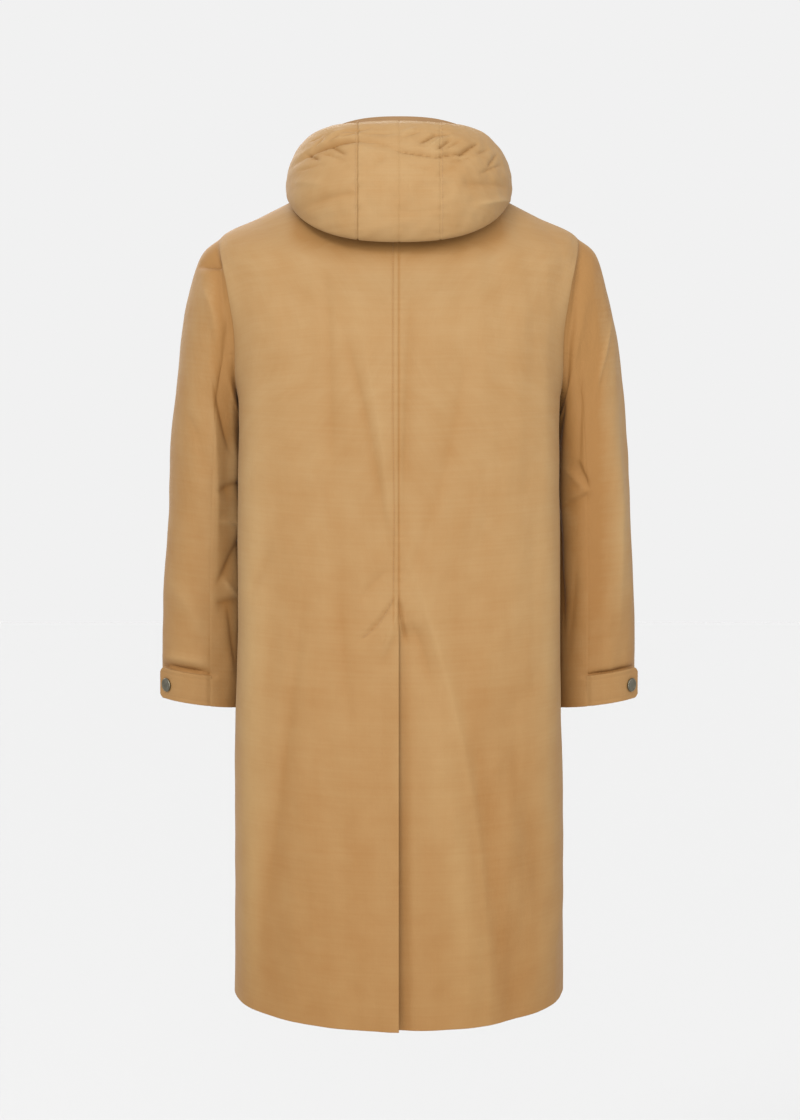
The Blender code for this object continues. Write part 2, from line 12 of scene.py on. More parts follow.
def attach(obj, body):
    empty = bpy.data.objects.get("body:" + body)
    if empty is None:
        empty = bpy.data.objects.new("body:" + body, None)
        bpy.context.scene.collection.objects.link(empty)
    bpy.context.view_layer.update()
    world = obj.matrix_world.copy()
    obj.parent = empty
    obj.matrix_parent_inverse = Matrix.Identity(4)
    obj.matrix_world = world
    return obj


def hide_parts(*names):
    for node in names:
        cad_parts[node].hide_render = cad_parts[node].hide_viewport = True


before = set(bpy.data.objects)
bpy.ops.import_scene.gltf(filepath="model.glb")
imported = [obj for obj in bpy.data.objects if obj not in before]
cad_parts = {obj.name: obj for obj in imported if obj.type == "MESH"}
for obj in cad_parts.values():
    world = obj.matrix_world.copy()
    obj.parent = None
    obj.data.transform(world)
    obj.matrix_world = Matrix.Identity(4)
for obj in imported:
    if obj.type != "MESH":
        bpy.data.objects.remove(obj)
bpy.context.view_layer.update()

# Cloth, hems, seams and sewing, in metres. A shade paints shade, deepening the tone as a hollow that deep
# would.
CLOTH = 0.0013
EDGE_RADIUS = 0.6 * CLOTH
HEM_EXTRA = 0.0009
HEM_DEPTH = 0.034
CUFF_HEM_DEPTH = 0.030
HEM_STEP = 0.004
SEAM_DIP = 0.0005
SEAM_SOFT = 0.0016
SEAM_SHADE = 0.0055
ALLOWANCE_RISE = 0.0005
ALLOWANCE_START = 0.002
ALLOWANCE_END = 0.003
STITCH_DIP = 0.00035
STITCH_SOFT = 0.0013
STITCH_SHADE = 0.0045
STITCH_PITCH = 0.0034
STITCH_LENGTH = 0.8 * STITCH_PITCH
STITCH_SIDES = 6
STITCH_RINGS = 4
STITCH_UNEVEN = (0.85, 1.1)
THREAD_RADIUS = 0.00032
THREAD_RIDE = 0.00008

# Working values: steps for normals and searches, the rounding of a ring's tilt, and the mirrored side
NORMAL_STEP = 0.002
ROWS_SEARCHED = 1201
POINTS_AROUND = 4
LEAST_DISTANCE = 0.00001
TILT_EASE = 0.22
SHARP_ANGLE = math.radians(50.0)
MIRROR = np.array([-1.0, 1.0, 1.0])

# Rings of the coat, from the neck seam down to the hem
COAT_COLUMNS = (
    "half_width", "width_y", "seam_y", "back_y", "front_y", "side_z", "back_z", "front_z", "squareness",
)
COAT_RINGS = {
    "neck seam": (0.0840, -0.004, -0.004, 0.073, -0.086, 0.0000, -0.012, -0.076, 2.00),
    "yoke": (0.1350, -0.003, -0.003, 0.099, -0.098, -0.0295, -0.054, -0.104, 2.10),
    "shoulder": (0.1900, -0.002, -0.002, 0.119, -0.110, -0.0580, -0.098, -0.135, 2.20),
    "shoulder tip": (0.2430, 0.001, 0.000, 0.133, -0.120, -0.0855, -0.140, -0.168, 2.25),
    "armhole upper": (0.2520, 0.010, 0.000, 0.142, -0.128, -0.1330, -0.187, -0.206, 2.25),
    "armhole middle": (0.2310, 0.022, -0.004, 0.148, -0.133, -0.2080, -0.235, -0.250, 2.50),
    "armhole lower": (0.2205, 0.036, -0.009, 0.150, -0.136, -0.2750, -0.285, -0.290, 2.50),
    "underarm": (0.2165, 0.046, -0.014, 0.150, -0.137, -0.3300, -0.335, -0.335, 2.45),
    "waist": (0.2160, 0.046, -0.015, 0.146, -0.139, -0.5000, -0.500, -0.500, 2.40),
    "vent top": (0.2180, 0.041, -0.015, 0.150, -0.145, -0.6300, -0.630, -0.630, 2.35),
    "thigh": (0.2225, 0.032, -0.012, 0.158, -0.152, -0.8200, -0.820, -0.820, 2.26),
    "knee": (0.2255, 0.023, -0.010, 0.164, -0.158, -1.0000, -1.003, -1.000, 2.18),
    "hem": (0.2270, 0.015, -0.010, 0.168, -0.160, -1.1200, -1.141, -1.125, 2.08),
}
SHOULDER_TIP_ROW = 3.0
UNDERARM_ROW = 7.0
HEM_ROW = 12.0
CENTRE_SPREAD = 0.8
ARMHOLE_BACK_REACH = math.radians(20.0)
ARMHOLE_FRONT_REACH = math.radians(23.0)

# Shares of a body panel's length at the corners of the armhole
SHOULDER_SHARE = 0.13
UNDERARM_SHARE = 0.36

# Body panels: width and length, where they lie calm, and the rise of the cloth beside the armhole
BACK_SIZE = (0.27, 1.16)
FRONT_SIZE = (0.29, 1.12)
CALM_BESIDE_SEAM = 0.05
CALM_BELOW_NECK = 0.10
BODY_SEAM_DIP = 0.0003
ARMHOLE_RISE = 0.0020
ARMHOLE_RISE_START = 0.0016
ARMHOLE_RISE_WIDTH = 0.018
ARMHOLE_BELOW_TIP_ROWS = 0.3
ARMHOLE_FADE_ROWS = 0.5

# The back under the hood, which holds the hood off, and the painted shadow below the hood's edge
HOOD_REST_RISE = 0.0150
HOOD_REST_Z = -0.128
HOOD_REST_HEIGHT = 0.040
HOOD_REST_WIDTH = 0.120
HOOD_EDGE_Z = -0.1035
HOOD_EDGE_CURVE = 1.25
HOOD_SHADE = 0.0100
HOOD_SHADE_HEIGHT = 0.048
HOOD_SHADE_END = 0.155
HOOD_SHADE_FADE = 0.03

# Centre back seam and vent, widths from the centre line. A pair is a value at the vent's top and its growth.
SEAM_TO_STITCH = 0.0078
VENT_TOP_ROW = 8.78
VENT_EASE_ROWS = 0.16
VENT_DEEP_ROWS = 2.2
VENT_UNDERLAP = 0.045
VENT_DIP = 0.0046
VENT_DIP_WIDTH = 0.060
VENT_RECESS = (0.0004, 0.0040)
VENT_RECESS_WIDTH = 0.020
# Painted shade on the underlap beside the vent's edge, deeper lower down
VENT_SHADE = (0.0022, 0.0018)
VENT_SHADE_END = 0.022
VENT_SHADE_FADE = 0.012
VENT_EDGE_RISE = (0.0006, 0.0019)
VENT_EDGE_WIDTH = 0.035
VENT_FLARE = 0.0035
VENT_FLARE_ROW = 11.2
VENT_FLARE_ROWS = 0.8
SEAM_STITCH_END_ROWS = 0.30
VENT_STITCH = ((0.0080, -0.572), (0.0160, -0.587), (0.0236, -0.5995), (0.0300, -0.6085), (0.0459, -0.6205))
VENT_STITCH_POINTS = 40

# Lapped fly front, widths from the centre line
FRONT_OVERLAP = 0.028
FRONT_UNDERLAP = 0.030
FRONT_DIP = 0.0046
FRONT_DIP_WIDTH = 0.050
# Strength of the painted shade and light of the fronts' folds
FRONT_FOLD_SHADING = 0.35
FLY_STITCH = 0.055

# Rings of one sleeve below the armhole
SLEEVE_COLUMNS = ("outer_x", "outer_z", "inner_x", "inner_z", "mid_y", "half_depth")
SLEEVE_RINGS = {
    "cap": (0.2680, -0.105, 0.2140, -0.338, -0.010, 0.085),
    "cap low": (0.2805, -0.135, 0.2145, -0.347, -0.014, 0.086),
    "cap end": (0.2920, -0.176, 0.2148, -0.358, -0.017, 0.0855),
    "upper arm": (0.3005, -0.220, 0.2150, -0.372, -0.020, 0.0845),
    "biceps": (0.3070, -0.280, 0.2155, -0.394, -0.023, 0.0830),
    "above elbow": (0.3130, -0.340, 0.2160, -0.425, -0.025, 0.0800),
    "elbow": (0.3180, -0.410, 0.2165, -0.466, -0.027, 0.0765),
    "below elbow": (0.3225, -0.480, 0.2170, -0.516, -0.029, 0.0720),
    "forearm": (0.3265, -0.550, 0.2175, -0.575, -0.031, 0.0665),
    "forearm low": (0.3290, -0.620, 0.2178, -0.639, -0.033, 0.0600),
    "wrist": (0.3300, -0.677, 0.2180, -0.692, -0.034, 0.0550),
    "cuff": (0.3300, -0.719, 0.2185, -0.7335, -0.035, 0.0510),
}
CUFF_ROW = 12.0
HINDARM_SEAM = math.radians(105.0)
FOREARM_SEAM = math.radians(-120.0)

# Sleeves: size, where they lie calm, the tuck at the armhole, and painted shade by the body and the sleeve
# head
SLEEVE_LENGTH = 0.62
SLEEVE_RADIUS = 0.075
SLEEVE_FACE_FADE = 0.5
SLEEVE_CUFF_CALM = 0.03
SLEEVE_HEAD_CALM = 0.04
SLEEVE_FOLD_START = 0.010
SLEEVE_SEAM_DIP = 0.00025
SLEEVE_TUCK = 0.0022
SLEEVE_TUCK_FADE = 0.6
SLEEVE_TUCK_START = 0.002
SLEEVE_TUCK_WIDTH = 0.012
# Strength of the painted shade and light of the sleeves' folds
SLEEVE_FOLD_SHADING = 1.5
# Painted shade: an even darkening of the back of the sleeves and of the cuff tabs
SLEEVE_PAINTED_SHADE = 0.0014
ARM_SHADE_END = 0.285
ARM_SHADE_WIDTH = 0.060
ARM_SHADE = {"left": 0.0012, "right": 0.0040}
HEAD_SHADE = 0.0055
HEAD_SHADE_END = -0.42
HEAD_SHADE_LENGTH = 0.20

# Rings of the hood as it lies folded down, from the neck seam under the fold and up to the rim
HOOD_COLUMNS = ("half_width", "width_y", "back_y", "front_y", "side_z", "back_z", "front_z", "squareness")
HOOD_RINGS = {
    "neck seam": (0.0842, -0.004, 0.0734, -0.0862, 0.0022, -0.0098, -0.0734, 2.00),
    "stand": (0.1040, -0.002, 0.0960, -0.0930, -0.0040, -0.0230, -0.0650, 2.10),
    "under layer": (0.1300, 0.000, 0.1240, -0.0990, -0.0165, -0.0640, -0.0540, 2.25),
    "fold": (0.1490, 0.003, 0.1525, -0.1040, -0.0265, -0.1045, -0.0440, 2.40),
    "belly low": (0.1535, 0.006, 0.1690, -0.1070, -0.0190, -0.0925, -0.0360, 2.45),
    "belly": (0.1530, 0.008, 0.1735, -0.1085, -0.0050, -0.0560, -0.0290, 2.50),
    "belly high": (0.1490, 0.008, 0.1680, -0.1085, 0.0105, -0.0180, -0.0225, 2.50),
    "below crease": (0.1415, 0.006, 0.1510, -0.1070, 0.0255, 0.0180, -0.0170, 2.50),
    "crease": (0.1325, 0.004, 0.1330, -0.1045, 0.0365, 0.0410, -0.0125, 2.50),
    "roll": (0.1220, 0.002, 0.1150, -0.1010, 0.0450, 0.0560, -0.0090, 2.45),
    "rim": (0.1080, 0.000, 0.0880, -0.0960, 0.0515, 0.0675, -0.0070, 2.35),
}
RIM_ROW = 10.0
HOOD_FOLD_ROW = 3.0
PAST_FOLD_ROW = 3.2
PAST_FOLD_ROWS = 0.6
HOOD_SEAM_X = 0.054

# Hood: lengths under and over the fold, around the front and the back, seams, sagging rim and facing
HOOD_UNDER_LENGTH = 0.12
HOOD_OVER_LENGTH = 0.24
HOOD_FRONT_LENGTH = 0.20
HOOD_BACK_LENGTH = 0.16
HOOD_SEAM_DIP = {"left": 0.0016, "right": 0.0007}
HOOD_CENTRE_DIP = 0.0007
HOOD_SEAM_SOFT = 0.0011
HOOD_SEAM_STITCH = 0.0028
HOOD_STITCH_START_ROW = 2.7
HOOD_CREASE_Y = 0.03
HOOD_RIM_CALM = 0.04
RIM_STITCH = 0.008
RIM_SAMPLES = (0.006, 0.008, 0.010)
RIM_DROP = 0.0065
RIM_DROP_END = 0.112
RIM_DROP_FADE = 0.064
RIM_DROP_ROW = 8.6
RIM_DROP_ROWS = 1.4
BEHIND_NECK = 0.04
FACING_SIZE = (0.30, 0.045)
FACING_ROWS = (8.7, 9.96, 10.45)
FACING_SHOW = 0.0035
FACING_SHOW_END = 0.112
FACING_SHOW_FADE = 0.060
FACING_CLEAR = 0.0012

# Cuff tab
TAB_START = math.radians(106.0)
TAB_BEND_END = math.radians(40.0)
TAB_FREE_LENGTH = 0.020
TAB_LENGTH = 0.090
TAB_BEND_LENGTH = 0.069
TAB_BEND_SHARE = TAB_BEND_LENGTH / TAB_LENGTH
TAB_WIDTH = 0.043
TAB_ROWS = (10.98, 11.99)
TAB_CORNER = 0.0070
TAB_CORNER_CUT = 0.26
TAB_WALL = 0.0022
TAB_CLEAR = 0.0005
TAB_STITCH = 0.006
TAB_SEWN_LENGTH = 0.008
TAB_SEWN_DROP = 0.6
TAB_SEWN_THIN = 0.5
TAB_ROOT_RISE = 0.0014
TAB_ROOT_WIDTH = 0.020
TAB_ROOT_ROWS = 0.1

# Snap cap: its profile as radius and height, from the middle of the top to the middle of the base
SNAP_PAST_BEND = 0.003
SNAP_SIDES = 48
SNAP_PROFILE = (
    (0.0, 0.0022), (0.002, 0.00222), (0.0038, 0.0023), (0.0052, 0.0025), (0.0061, 0.0029), (0.007, 0.00315),
    (0.0079, 0.0032), (0.0087, 0.003), (0.0092, 0.0026), (0.0095, 0.002), (0.0095, 0.0012), (0.0092, 0.0004),
    (0.0086, 0.0), (0.0, 0.0),
)

# Folds and creases, x and z as seen from the back with the wearer's left at +x. A trough has a negative
# depth, bow bends a fold sideways and soft widens the flank on its +across side. Plain rows leave these out.
FOLD_FADE = 0.60
CREASE_WIDTH = 0.0125
CREASE_ROUND = 0.15
CREASE_FALL = 1.4
FOLD_COLUMNS = ("start_x", "start_z", "end_x", "end_z", "width", "depth", "bow", "soft")
PLAIN_FOLD = {"bow": 0.0, "soft": 1.0}
BACK_FOLDS = (
    (-0.04, -0.69, -0.116, -1.16, 0.026, 0.0036),
    (-0.09, -0.7, -0.154, -1.16, 0.024, -0.004),
    (-0.021, -0.545, -0.119, -1.094, 0.01, 0.0037, 0.024, 1.5),
    (-0.15, -0.77, -0.2, -1.0, 0.016, -0.003),
    (0.035, -0.79, 0.1, -1.07, 0.028, -0.0014),
    (0.15, -0.69, 0.178, -1.16, 0.022, -0.0014),
    (0.194, -0.36, 0.202, -1.1, 0.02, 0.007),
    (-0.196, -0.36, -0.204, -1.1, 0.018, 0.005),
    (0.129, -0.604, 0.186, -1.03, 0.01, -0.0022),
    (0.15, -0.64, 0.2, -1.0, 0.014, 0.002),
    (0.072, -0.54, 0.066, -0.7, 0.02, -0.0016),
    (0.081, -0.545, 0.064, -0.741, 0.009, -0.0015),
    (-0.15, -0.42, -0.16, -0.64, 0.024, 0.0025),
    (0.094, -0.17, 0.088, -0.4, 0.012, -0.0031),
    (0.064, -0.25, 0.02, -0.475, 0.008, -0.0037, 0.004),
    (0.046, -0.24, 0.012, -0.46, 0.01, 0.0022, 0.003),
    (-0.015, -0.195, -0.008, -0.43, 0.01, -0.0032),
    (-0.09, -0.25, -0.03, -0.5, 0.012, -0.002, 0.006),
    (0.048, -0.57, 0.018, -0.535, 0.008, -0.002, 0.002),
    (0.008, -0.572, 0.0459, -0.6205, 0.0026, -0.0034, 0.003),
    (-0.0005, -0.574, -0.0085, -0.623, 0.0024, -0.0044, -0.001, 2.0),
    (0.022, -0.66, 0.006, -0.625, 0.008, -0.002),
    (0.003, -0.591, 0.018, -0.637, 0.008, 0.0027),
    (-0.015, -0.6, -0.04, -0.68, 0.01, -0.0034, 0.003),
    (0.192, -0.565, 0.172, -0.506, 0.009, -0.0037),
)
FRONT_FOLDS = (
    (0.09, -0.64, 0.11, -1.16, 0.03, -0.0045),
    (0.165, -0.52, 0.175, -1.16, 0.026, 0.004),
    (-0.075, -0.6, -0.1, -1.16, 0.028, -0.0045),
    (-0.15, -0.56, -0.172, -1.16, 0.026, 0.0035),
    (0.13, -0.33, 0.06, -0.47, 0.014, -0.0039, 0.006),
    (-0.14, -0.34, -0.07, -0.49, 0.013, -0.0036, -0.006),
    (0.18, -0.35, 0.11, -0.4, 0.011, -0.0036, 0.004),
    (-0.02, -0.48, -0.07, -0.56, 0.011, -0.003, 0.003),
    (0.07, -0.6, 0.12, -0.9, 0.01, 0.0027, 0.01, 1.5),
    (-0.1, -0.62, -0.15, -1.0, 0.01, -0.0033, -0.008),
    (0.06, -0.2, 0.045, -0.42, 0.011, -0.0024, 0.003),
    (-0.07, -0.21, -0.05, -0.43, 0.011, -0.0023, 0.003),
)
SLEEVE_BACK_FOLDS = (
    (0.225, -0.3, 0.225, -0.69, 0.01, 0.005),
    (0.268, -0.127, 0.228, -0.125, 0.0035, -0.01, 0.0, 5.0),
    (0.262, -0.16, 0.246, -0.215, 0.01, 0.0026, 0.004),
    (0.285, -0.33, 0.262, -0.4, 0.012, -0.0016, 0.004),
    (0.31, -0.56, 0.27, -0.63, 0.012, 0.0016, 0.004),
    (0.326, -0.662, 0.262, -0.67, 0.008, 0.003, 0.003),
    (0.326, -0.6745, 0.262, -0.683, 0.003, -0.008, 0.002, 1.7),
    (-0.225, -0.3, -0.225, -0.69, 0.01, 0.0026),
    (-0.236, -0.108, -0.238, -0.125, 0.004, -0.005),
    (-0.3, -0.4, -0.304, -0.6, 0.01, 0.0026),
    (-0.262, -0.6835, -0.326, -0.6745, 0.0026, -0.0065),
    (0.228, -0.1922, 0.2443, -0.3075, 0.005, -0.0041, 0.0, 4.0),
    (0.247, -0.2967, 0.2307, -0.3726, 0.0045, -0.0045, 0.0, 4.5),
    (0.2171, -0.4161, 0.2429, -0.4296, 0.004, -0.0041, 0.0, 4.5),
    (0.2415, -0.4717, 0.2171, -0.4798, 0.003, 0.0035),
    (0.2198, -0.4866, 0.2456, -0.5517, 0.0045, -0.0045, 0.002, 4.5),
    (0.2388, -0.5544, 0.2239, -0.5815, 0.003, 0.003),
    (0.2198, -0.5788, 0.2456, -0.5843, 0.004, -0.0036, 0.0, 4.5),
    (0.2348, -0.5951, 0.228, -0.6711, 0.004, -0.0033, 0.0, 3.0),
    (0.2524, -0.2804, 0.2483, -0.5246, 0.008, 0.0022, 0.003),
    (-0.2171, -0.3726, -0.228, -0.2126, 0.006, -0.005, 0.0, 2.0),
    (-0.243, -0.395, -0.245, -0.25, 0.006, -0.0042, 0.0, 4.0),
    (-0.2565, -0.424, -0.242, -0.394, 0.0028, -0.0046, 0.0, 9.0),
    (-0.2497, -0.4283, -0.228, -0.4025, 0.006, 0.003),
    (-0.2565, -0.435, -0.2266, -0.45, 0.003, -0.0042, 0.0, 4.5),
    (-0.2266, -0.61, -0.2198, -0.4567, 0.004, -0.0056, 0.0, 2.5),
    (-0.2863, -0.2058, -0.2687, -0.294, 0.0028, 0.0024),
    (-0.29, -0.24, -0.31, -0.54, 0.013, 0.0035),
    (-0.2415, -0.5381, -0.2348, -0.6331, 0.008, -0.0022),
    (-0.2592, -0.1312, -0.2687, -0.6331, 0.018, -0.0045),
    (-0.2443, -0.1068, -0.2307, -0.2261, 0.01, -0.006),
    (0.245, -0.1, 0.235, -0.2, 0.01, -0.0045),
)
SLEEVE_FRONT_FOLDS = (
    (0.24, -0.42, 0.275, -0.44, 0.014, -0.0035),
    (0.24, -0.47, 0.28, -0.5, 0.014, -0.003),
    (-0.24, -0.41, -0.275, -0.435, 0.014, -0.0035),
    (-0.24, -0.475, -0.28, -0.5, 0.014, -0.003),
    (0.245, -0.3, 0.285, -0.28, 0.01, -0.002, 0.004),
    (-0.245, -0.31, -0.285, -0.285, 0.01, -0.0022, 0.004),
)
HOOD_FOLDS = (
    (0.1259, 0.01, 0.0498, 0.0284, 0.0032, -0.0065, 0.004, 1.8),
    (0.1232, 0.0192, 0.0498, 0.0349, 0.0055, 0.0033, 0.004),
    (0.1114, 0.0231, 0.0891, 0.0402, 0.0022, -0.0036, 0.001),
    (0.1009, 0.0323, 0.076, 0.0428, 0.0022, 0.003),
    (0.0957, 0.0284, 0.08, 0.0349, 0.002, -0.003),
    (0.076, 0.0336, 0.0551, 0.0402, 0.0022, -0.003),
    (0.0878, 0.0218, 0.0708, 0.01, 0.0024, -0.0042),
    (0.1219, 0.014, 0.1062, 0.0048, 0.0024, -0.0042),
    (-0.0288, 0.0244, -0.0472, 0.0362, 0.0024, -0.0048),
    (-0.0472, 0.0362, -0.0642, 0.0376, 0.0022, -0.003),
    (-0.0406, 0.0192, -0.0577, 0.0323, 0.0024, 0.003),
    (-0.0511, 0.0166, -0.0669, 0.0297, 0.0024, -0.0048),
    (-0.08, 0.01, -0.0957, 0.0218, 0.0026, -0.0048),
    (-0.0957, 0.0218, -0.1036, 0.0271, 0.002, -0.003),
    (0.0039, 0.014, -0.0485, 0.0048, 0.0026, -0.0042, -0.001, 1.5),
    (-0.0485, 0.0048, -0.0826, 0.0113, 0.0026, -0.0036, 0.001),
    (-0.0013, 0.0205, -0.0485, 0.0126, 0.005, 0.0012),
    (0.0328, -0.007, 0.0184, 0.0048, 0.006, -0.0018),
    (-0.0511, -0.0201, -0.08, -0.0031, 0.009, -0.0027),
    (-0.118, -0.0031, -0.1285, 0.014, 0.003, -0.0036),
    (0.118, -0.0555, 0.0538, -0.0437, 0.01, -0.0042, 0.002),
    (-0.1062, -0.0555, -0.1455, -0.0437, 0.006, 0.0039),
    (-0.0826, -0.0306, -0.1416, -0.0267, 0.009, -0.0033),
    (-0.0079, -0.0699, -0.0538, -0.0647, 0.012, -0.0018),
    (0.0498, 0.0362, 0.0039, 0.0376, 0.004, -0.0015),
    (0.0734, 0.0415, 0.038, 0.0454, 0.0024, -0.0021),
    (0.0459, 0.0258, 0.0079, 0.0192, 0.0026, -0.0023, 0.001),
    (0.0433, 0.0153, 0.0197, 0.0113, 0.003, 0.0018),
    (-0.0066, 0.0323, -0.0262, 0.0402, 0.0024, -0.0026),
    (-0.0066, 0.0389, -0.0223, 0.0454, 0.0024, 0.0016),
    (0.1023, 0.0126, 0.0747, 0.0022, 0.0026, -0.0023, 0.001),
    (0.1311, -0.007, 0.1049, -0.0031, 0.0026, -0.0021),
    (-0.0616, 0.0179, -0.0787, 0.0271, 0.0024, -0.0029),
    (-0.0695, -0.0005, -0.0957, 0.0061, 0.0028, -0.0023),
    (-0.1036, 0.0126, -0.118, 0.0205, 0.0024, -0.0026),
    (-0.1088, -0.0136, -0.1337, 0.0008, 0.003, -0.0026),
    (0.1167, 0.0323, 0.1009, 0.0389, 0.0024, -0.0021),
    (-0.0144, -0.007, -0.0446, -0.0136, 0.006, -0.0014),
    (0.135, -0.0228, 0.1009, -0.0293, 0.008, 0.0018),
)

# Gentle waviness of the cloth as size, height and stretch up and down, and the seeds of waves and ripples
BODY_WAVES = (0.065, 0.0009, 5.0)
BODY_RIPPLES = (0.030, 0.0003, 3.0)
SLEEVE_WAVES = (0.055, 0.0010, 3.5)
SLEEVE_RIPPLES = (0.026, 0.0003, 2.2)
HOOD_WAVES = (0.050, 0.0008, 0.8)
HOOD_RIPPLES = (0.018, 0.0003, 0.9)
BACK_SEEDS = (11, 61)
FRONT_SEEDS = (31, 81)
SLEEVE_SEEDS = (41, 42)
HOOD_SEEDS = (61, 62)
WAVE_COUNT = 16
WAVE_SPREAD = (0.7, 1.6)
WAVE_DEPTH_SHARE = 0.6

# Gathers along a seam as seed, pitch, reach and height, and the seeds of the stitches
BACK_GATHERS = (21, 0.011, 0.008, 0.00025)
HOOD_GATHERS = (71, 0.012, 0.008, 0.0004)
HOOD_CENTRE_GATHERS = (72, 0.013, 0.007, 0.0002)
GATHER_COUNT = 5
GATHER_SPREAD = (0.7, 1.7)
STITCH_SEEDS = {"back": 3, "fly": 5, "hood": 7}

# Spacing of the fine grids
BACK_STEP = 0.0034
FRONT_STEP = 0.0054
SLEEVE_STEP = 0.0032
UNDER_STEP = 0.0028
HOOD_STEP = 0.0018
HOOD_HIDDEN_STEP = 0.0055
FACING_STEP = 0.0034
TAB_STEP = 0.0011
SEAM_SAMPLES = (0.0, 0.0006, 0.0014, 0.0024, 0.0038, 0.0054, 0.0068, 0.0080, 0.0092, 0.0108, 0.0130)
EDGE_SAMPLES = (0.0, 0.0003, 0.0007, 0.0014, 0.0026)

# Sheets that stand for two solids
SPLIT_SOLIDS = {
    "back": ("back_upper", "back_lower"),
    "front": ("front_upper", "front_lower"),
    "sleeve_under": ("sleeve_under_top", "sleeve_under_low"),
}

# Cotton: repeats a metre across and along the cloth, how much each adds to the tone, its bumps and its sheen
WARP_SLUB = (900.0, 26.0)
WEFT_SLUB = (30.0, 1000.0)
WEFT_LINES = (7.0, 250.0)
DRAPE = (34.0, 4.0)
MOTTLE = 22.0
CRUMPLE = 60.0
WARP_YARNS = 420.0
WEFT_YARNS = 480.0
# The last weight sets how strongly the painted shading of folds, seams and hollows darkens or lightens the
# tone
TONE_WEIGHTS = {"slub": 0.5, "weft lines": 0.55, "drape": 0.65, "mottle": 1.2, "painted_relief": 140.0}
TONE_RANGE = (0.66, 2.76)
SLUB_RANGE = (0.6, 1.4)
ROUGHNESS_SPREAD = 0.06
YARN_SLUB = 0.9
YARN_BUMP = {"Strength": 0.20, "Distance": 0.00012}
CRUMPLE_BUMP = {"Strength": 0.40, "Distance": 0.0015}
COTTON_SHEEN = {
    "Specular IOR Level": 0.36,
    "Sheen Weight": 0.03,
    "Sheen Roughness": 0.40,
    "Sheen Tint": (1.0, 0.95, 0.88, 1.0),
}

# Cotton: painted light and shade by height, paler and cooler at the hood and deeper down at the hem
LIGHT_FALLOFF_HEIGHTS = (-1.14, 0.03)
HEM_PAINTED_SHADE = (0.80, 0.77, 0.72)
HOOD_PAINTED_LIGHT = (0.99, 1.11, 1.40)

# Finishes: tones from dark to light, roughness, repeats a metre and bump
# The shell's dark tone is also the colour of its painted shade in folds and hollows
SHELL_TONES = ((0.285, 0.128, 0.029), (0.360, 0.211, 0.077))
SHELL_ROUGHNESS = 0.76
FACING_TONES = ((0.215, 0.103, 0.033), (0.300, 0.158, 0.056))
FACING_ROUGHNESS = 0.78
THREAD_TONES = ((0.235, 0.128, 0.052), (0.345, 0.200, 0.092))
THREAD_ROUGHNESS = 0.62
THREAD_TWIST = 900.0
METAL_TONES = ((0.10, 0.092, 0.066), (0.20, 0.185, 0.140))
METAL_ROUGHNESS = (0.24, 0.42)
METAL_GRAIN = 700.0
METAL_RUBBED = 160.0
METAL_BUMP = {"Strength": 0.15, "Distance": 0.00005}

# Stage and camera
FLOOR_Z = -2.2
FLOOR_SIZE = 40.0
PALE = 0.88
FLOOR_SHADE = 0.565
FLOOR_ROUGHNESS = 0.9
CAMERA_PLACE = Vector((0.0, 3.0, -0.375))
CAMERA_AIM = Vector((-0.0014, 0.0, -0.527))
VIEW_HEIGHT = 1.5456
SENSOR = 36.0

# Far lights as the direction they shine from, strength and spread in degrees
SUNS = {
    "key light": ((0.36, 0.72, 0.58), 0.95, 18.0),
    "left side light": ((0.78, 0.50, 0.38), 0.12, 40.0),
    "right side light": ((-0.78, 0.50, 0.38), 0.62, 40.0),
    "top light": ((0.10, 0.42, 0.90), 0.50, 60.0),
    "far side light": ((0.30, -0.82, 0.46), 1.80, 40.0),
}

# Near lights as place, aim, width and power
SOFTBOXES = {
    "front light": ((0.15, 2.2, 0.65), (0.0, 0.1, -0.2), 1.2, 17.0),
    "low light": ((0.0, 2.3, -1.0), (0.0, 0.12, -0.12), 1.0, 18.0),
}


def table_columns(names, rings):
    """The rows of a ring table as one array for each named column."""
    return {name: np.array([row[index] for row in rings.values()]) for index, name in enumerate(names)}


COAT = table_columns(COAT_COLUMNS, COAT_RINGS)
SLEEVE = table_columns(SLEEVE_COLUMNS, SLEEVE_RINGS)
HOOD = table_columns(HOOD_COLUMNS, HOOD_RINGS)


def smooth(values, at):
    """A smooth cubic through values that stand at 0, 1, 2 and so on along their first axis."""
    step = np.diff(values, axis=0)
    slope = np.concatenate([step[:1], (step[:-1] + step[1:]) / 2, step[-1:]])
    result = np.zeros(np.broadcast_shapes(np.shape(at), np.shape(values[0])))
    span = np.clip(np.floor(at).astype(int), 0, len(step) - 1)
    for index in range(len(step)):
        part = at - index
        start = values[index] + part * slope[index]
        bend = 3 * step[index] - 2 * slope[index] - slope[index + 1]
        turn = slope[index] + slope[index + 1] - 2 * step[index]
        result = np.where(span == index, start + part**2 * bend + part**3 * turn, result)
    return result


def ease(value):
    """0 below 0, 1 above 1 and a smooth step between."""
    value = np.clip(value, 0.0, 1.0)
    return value * value * (3.0 - 2.0 * value)


def soft_line(distance, width):
    """1 on a line and softly down to 0 beside it."""
    return np.exp(-((distance / width) ** 2))


def ring_size(rings, row):
    """The columns of a ring table at a row, with each ring's depth on its back and on its front."""
    size = {name: smooth(values, row) for name, values in rings.items()}
    size["back_depth"] = size["back_y"] - size["width_y"]
    size["front_depth"] = size["width_y"] - size["front_y"]
    return size


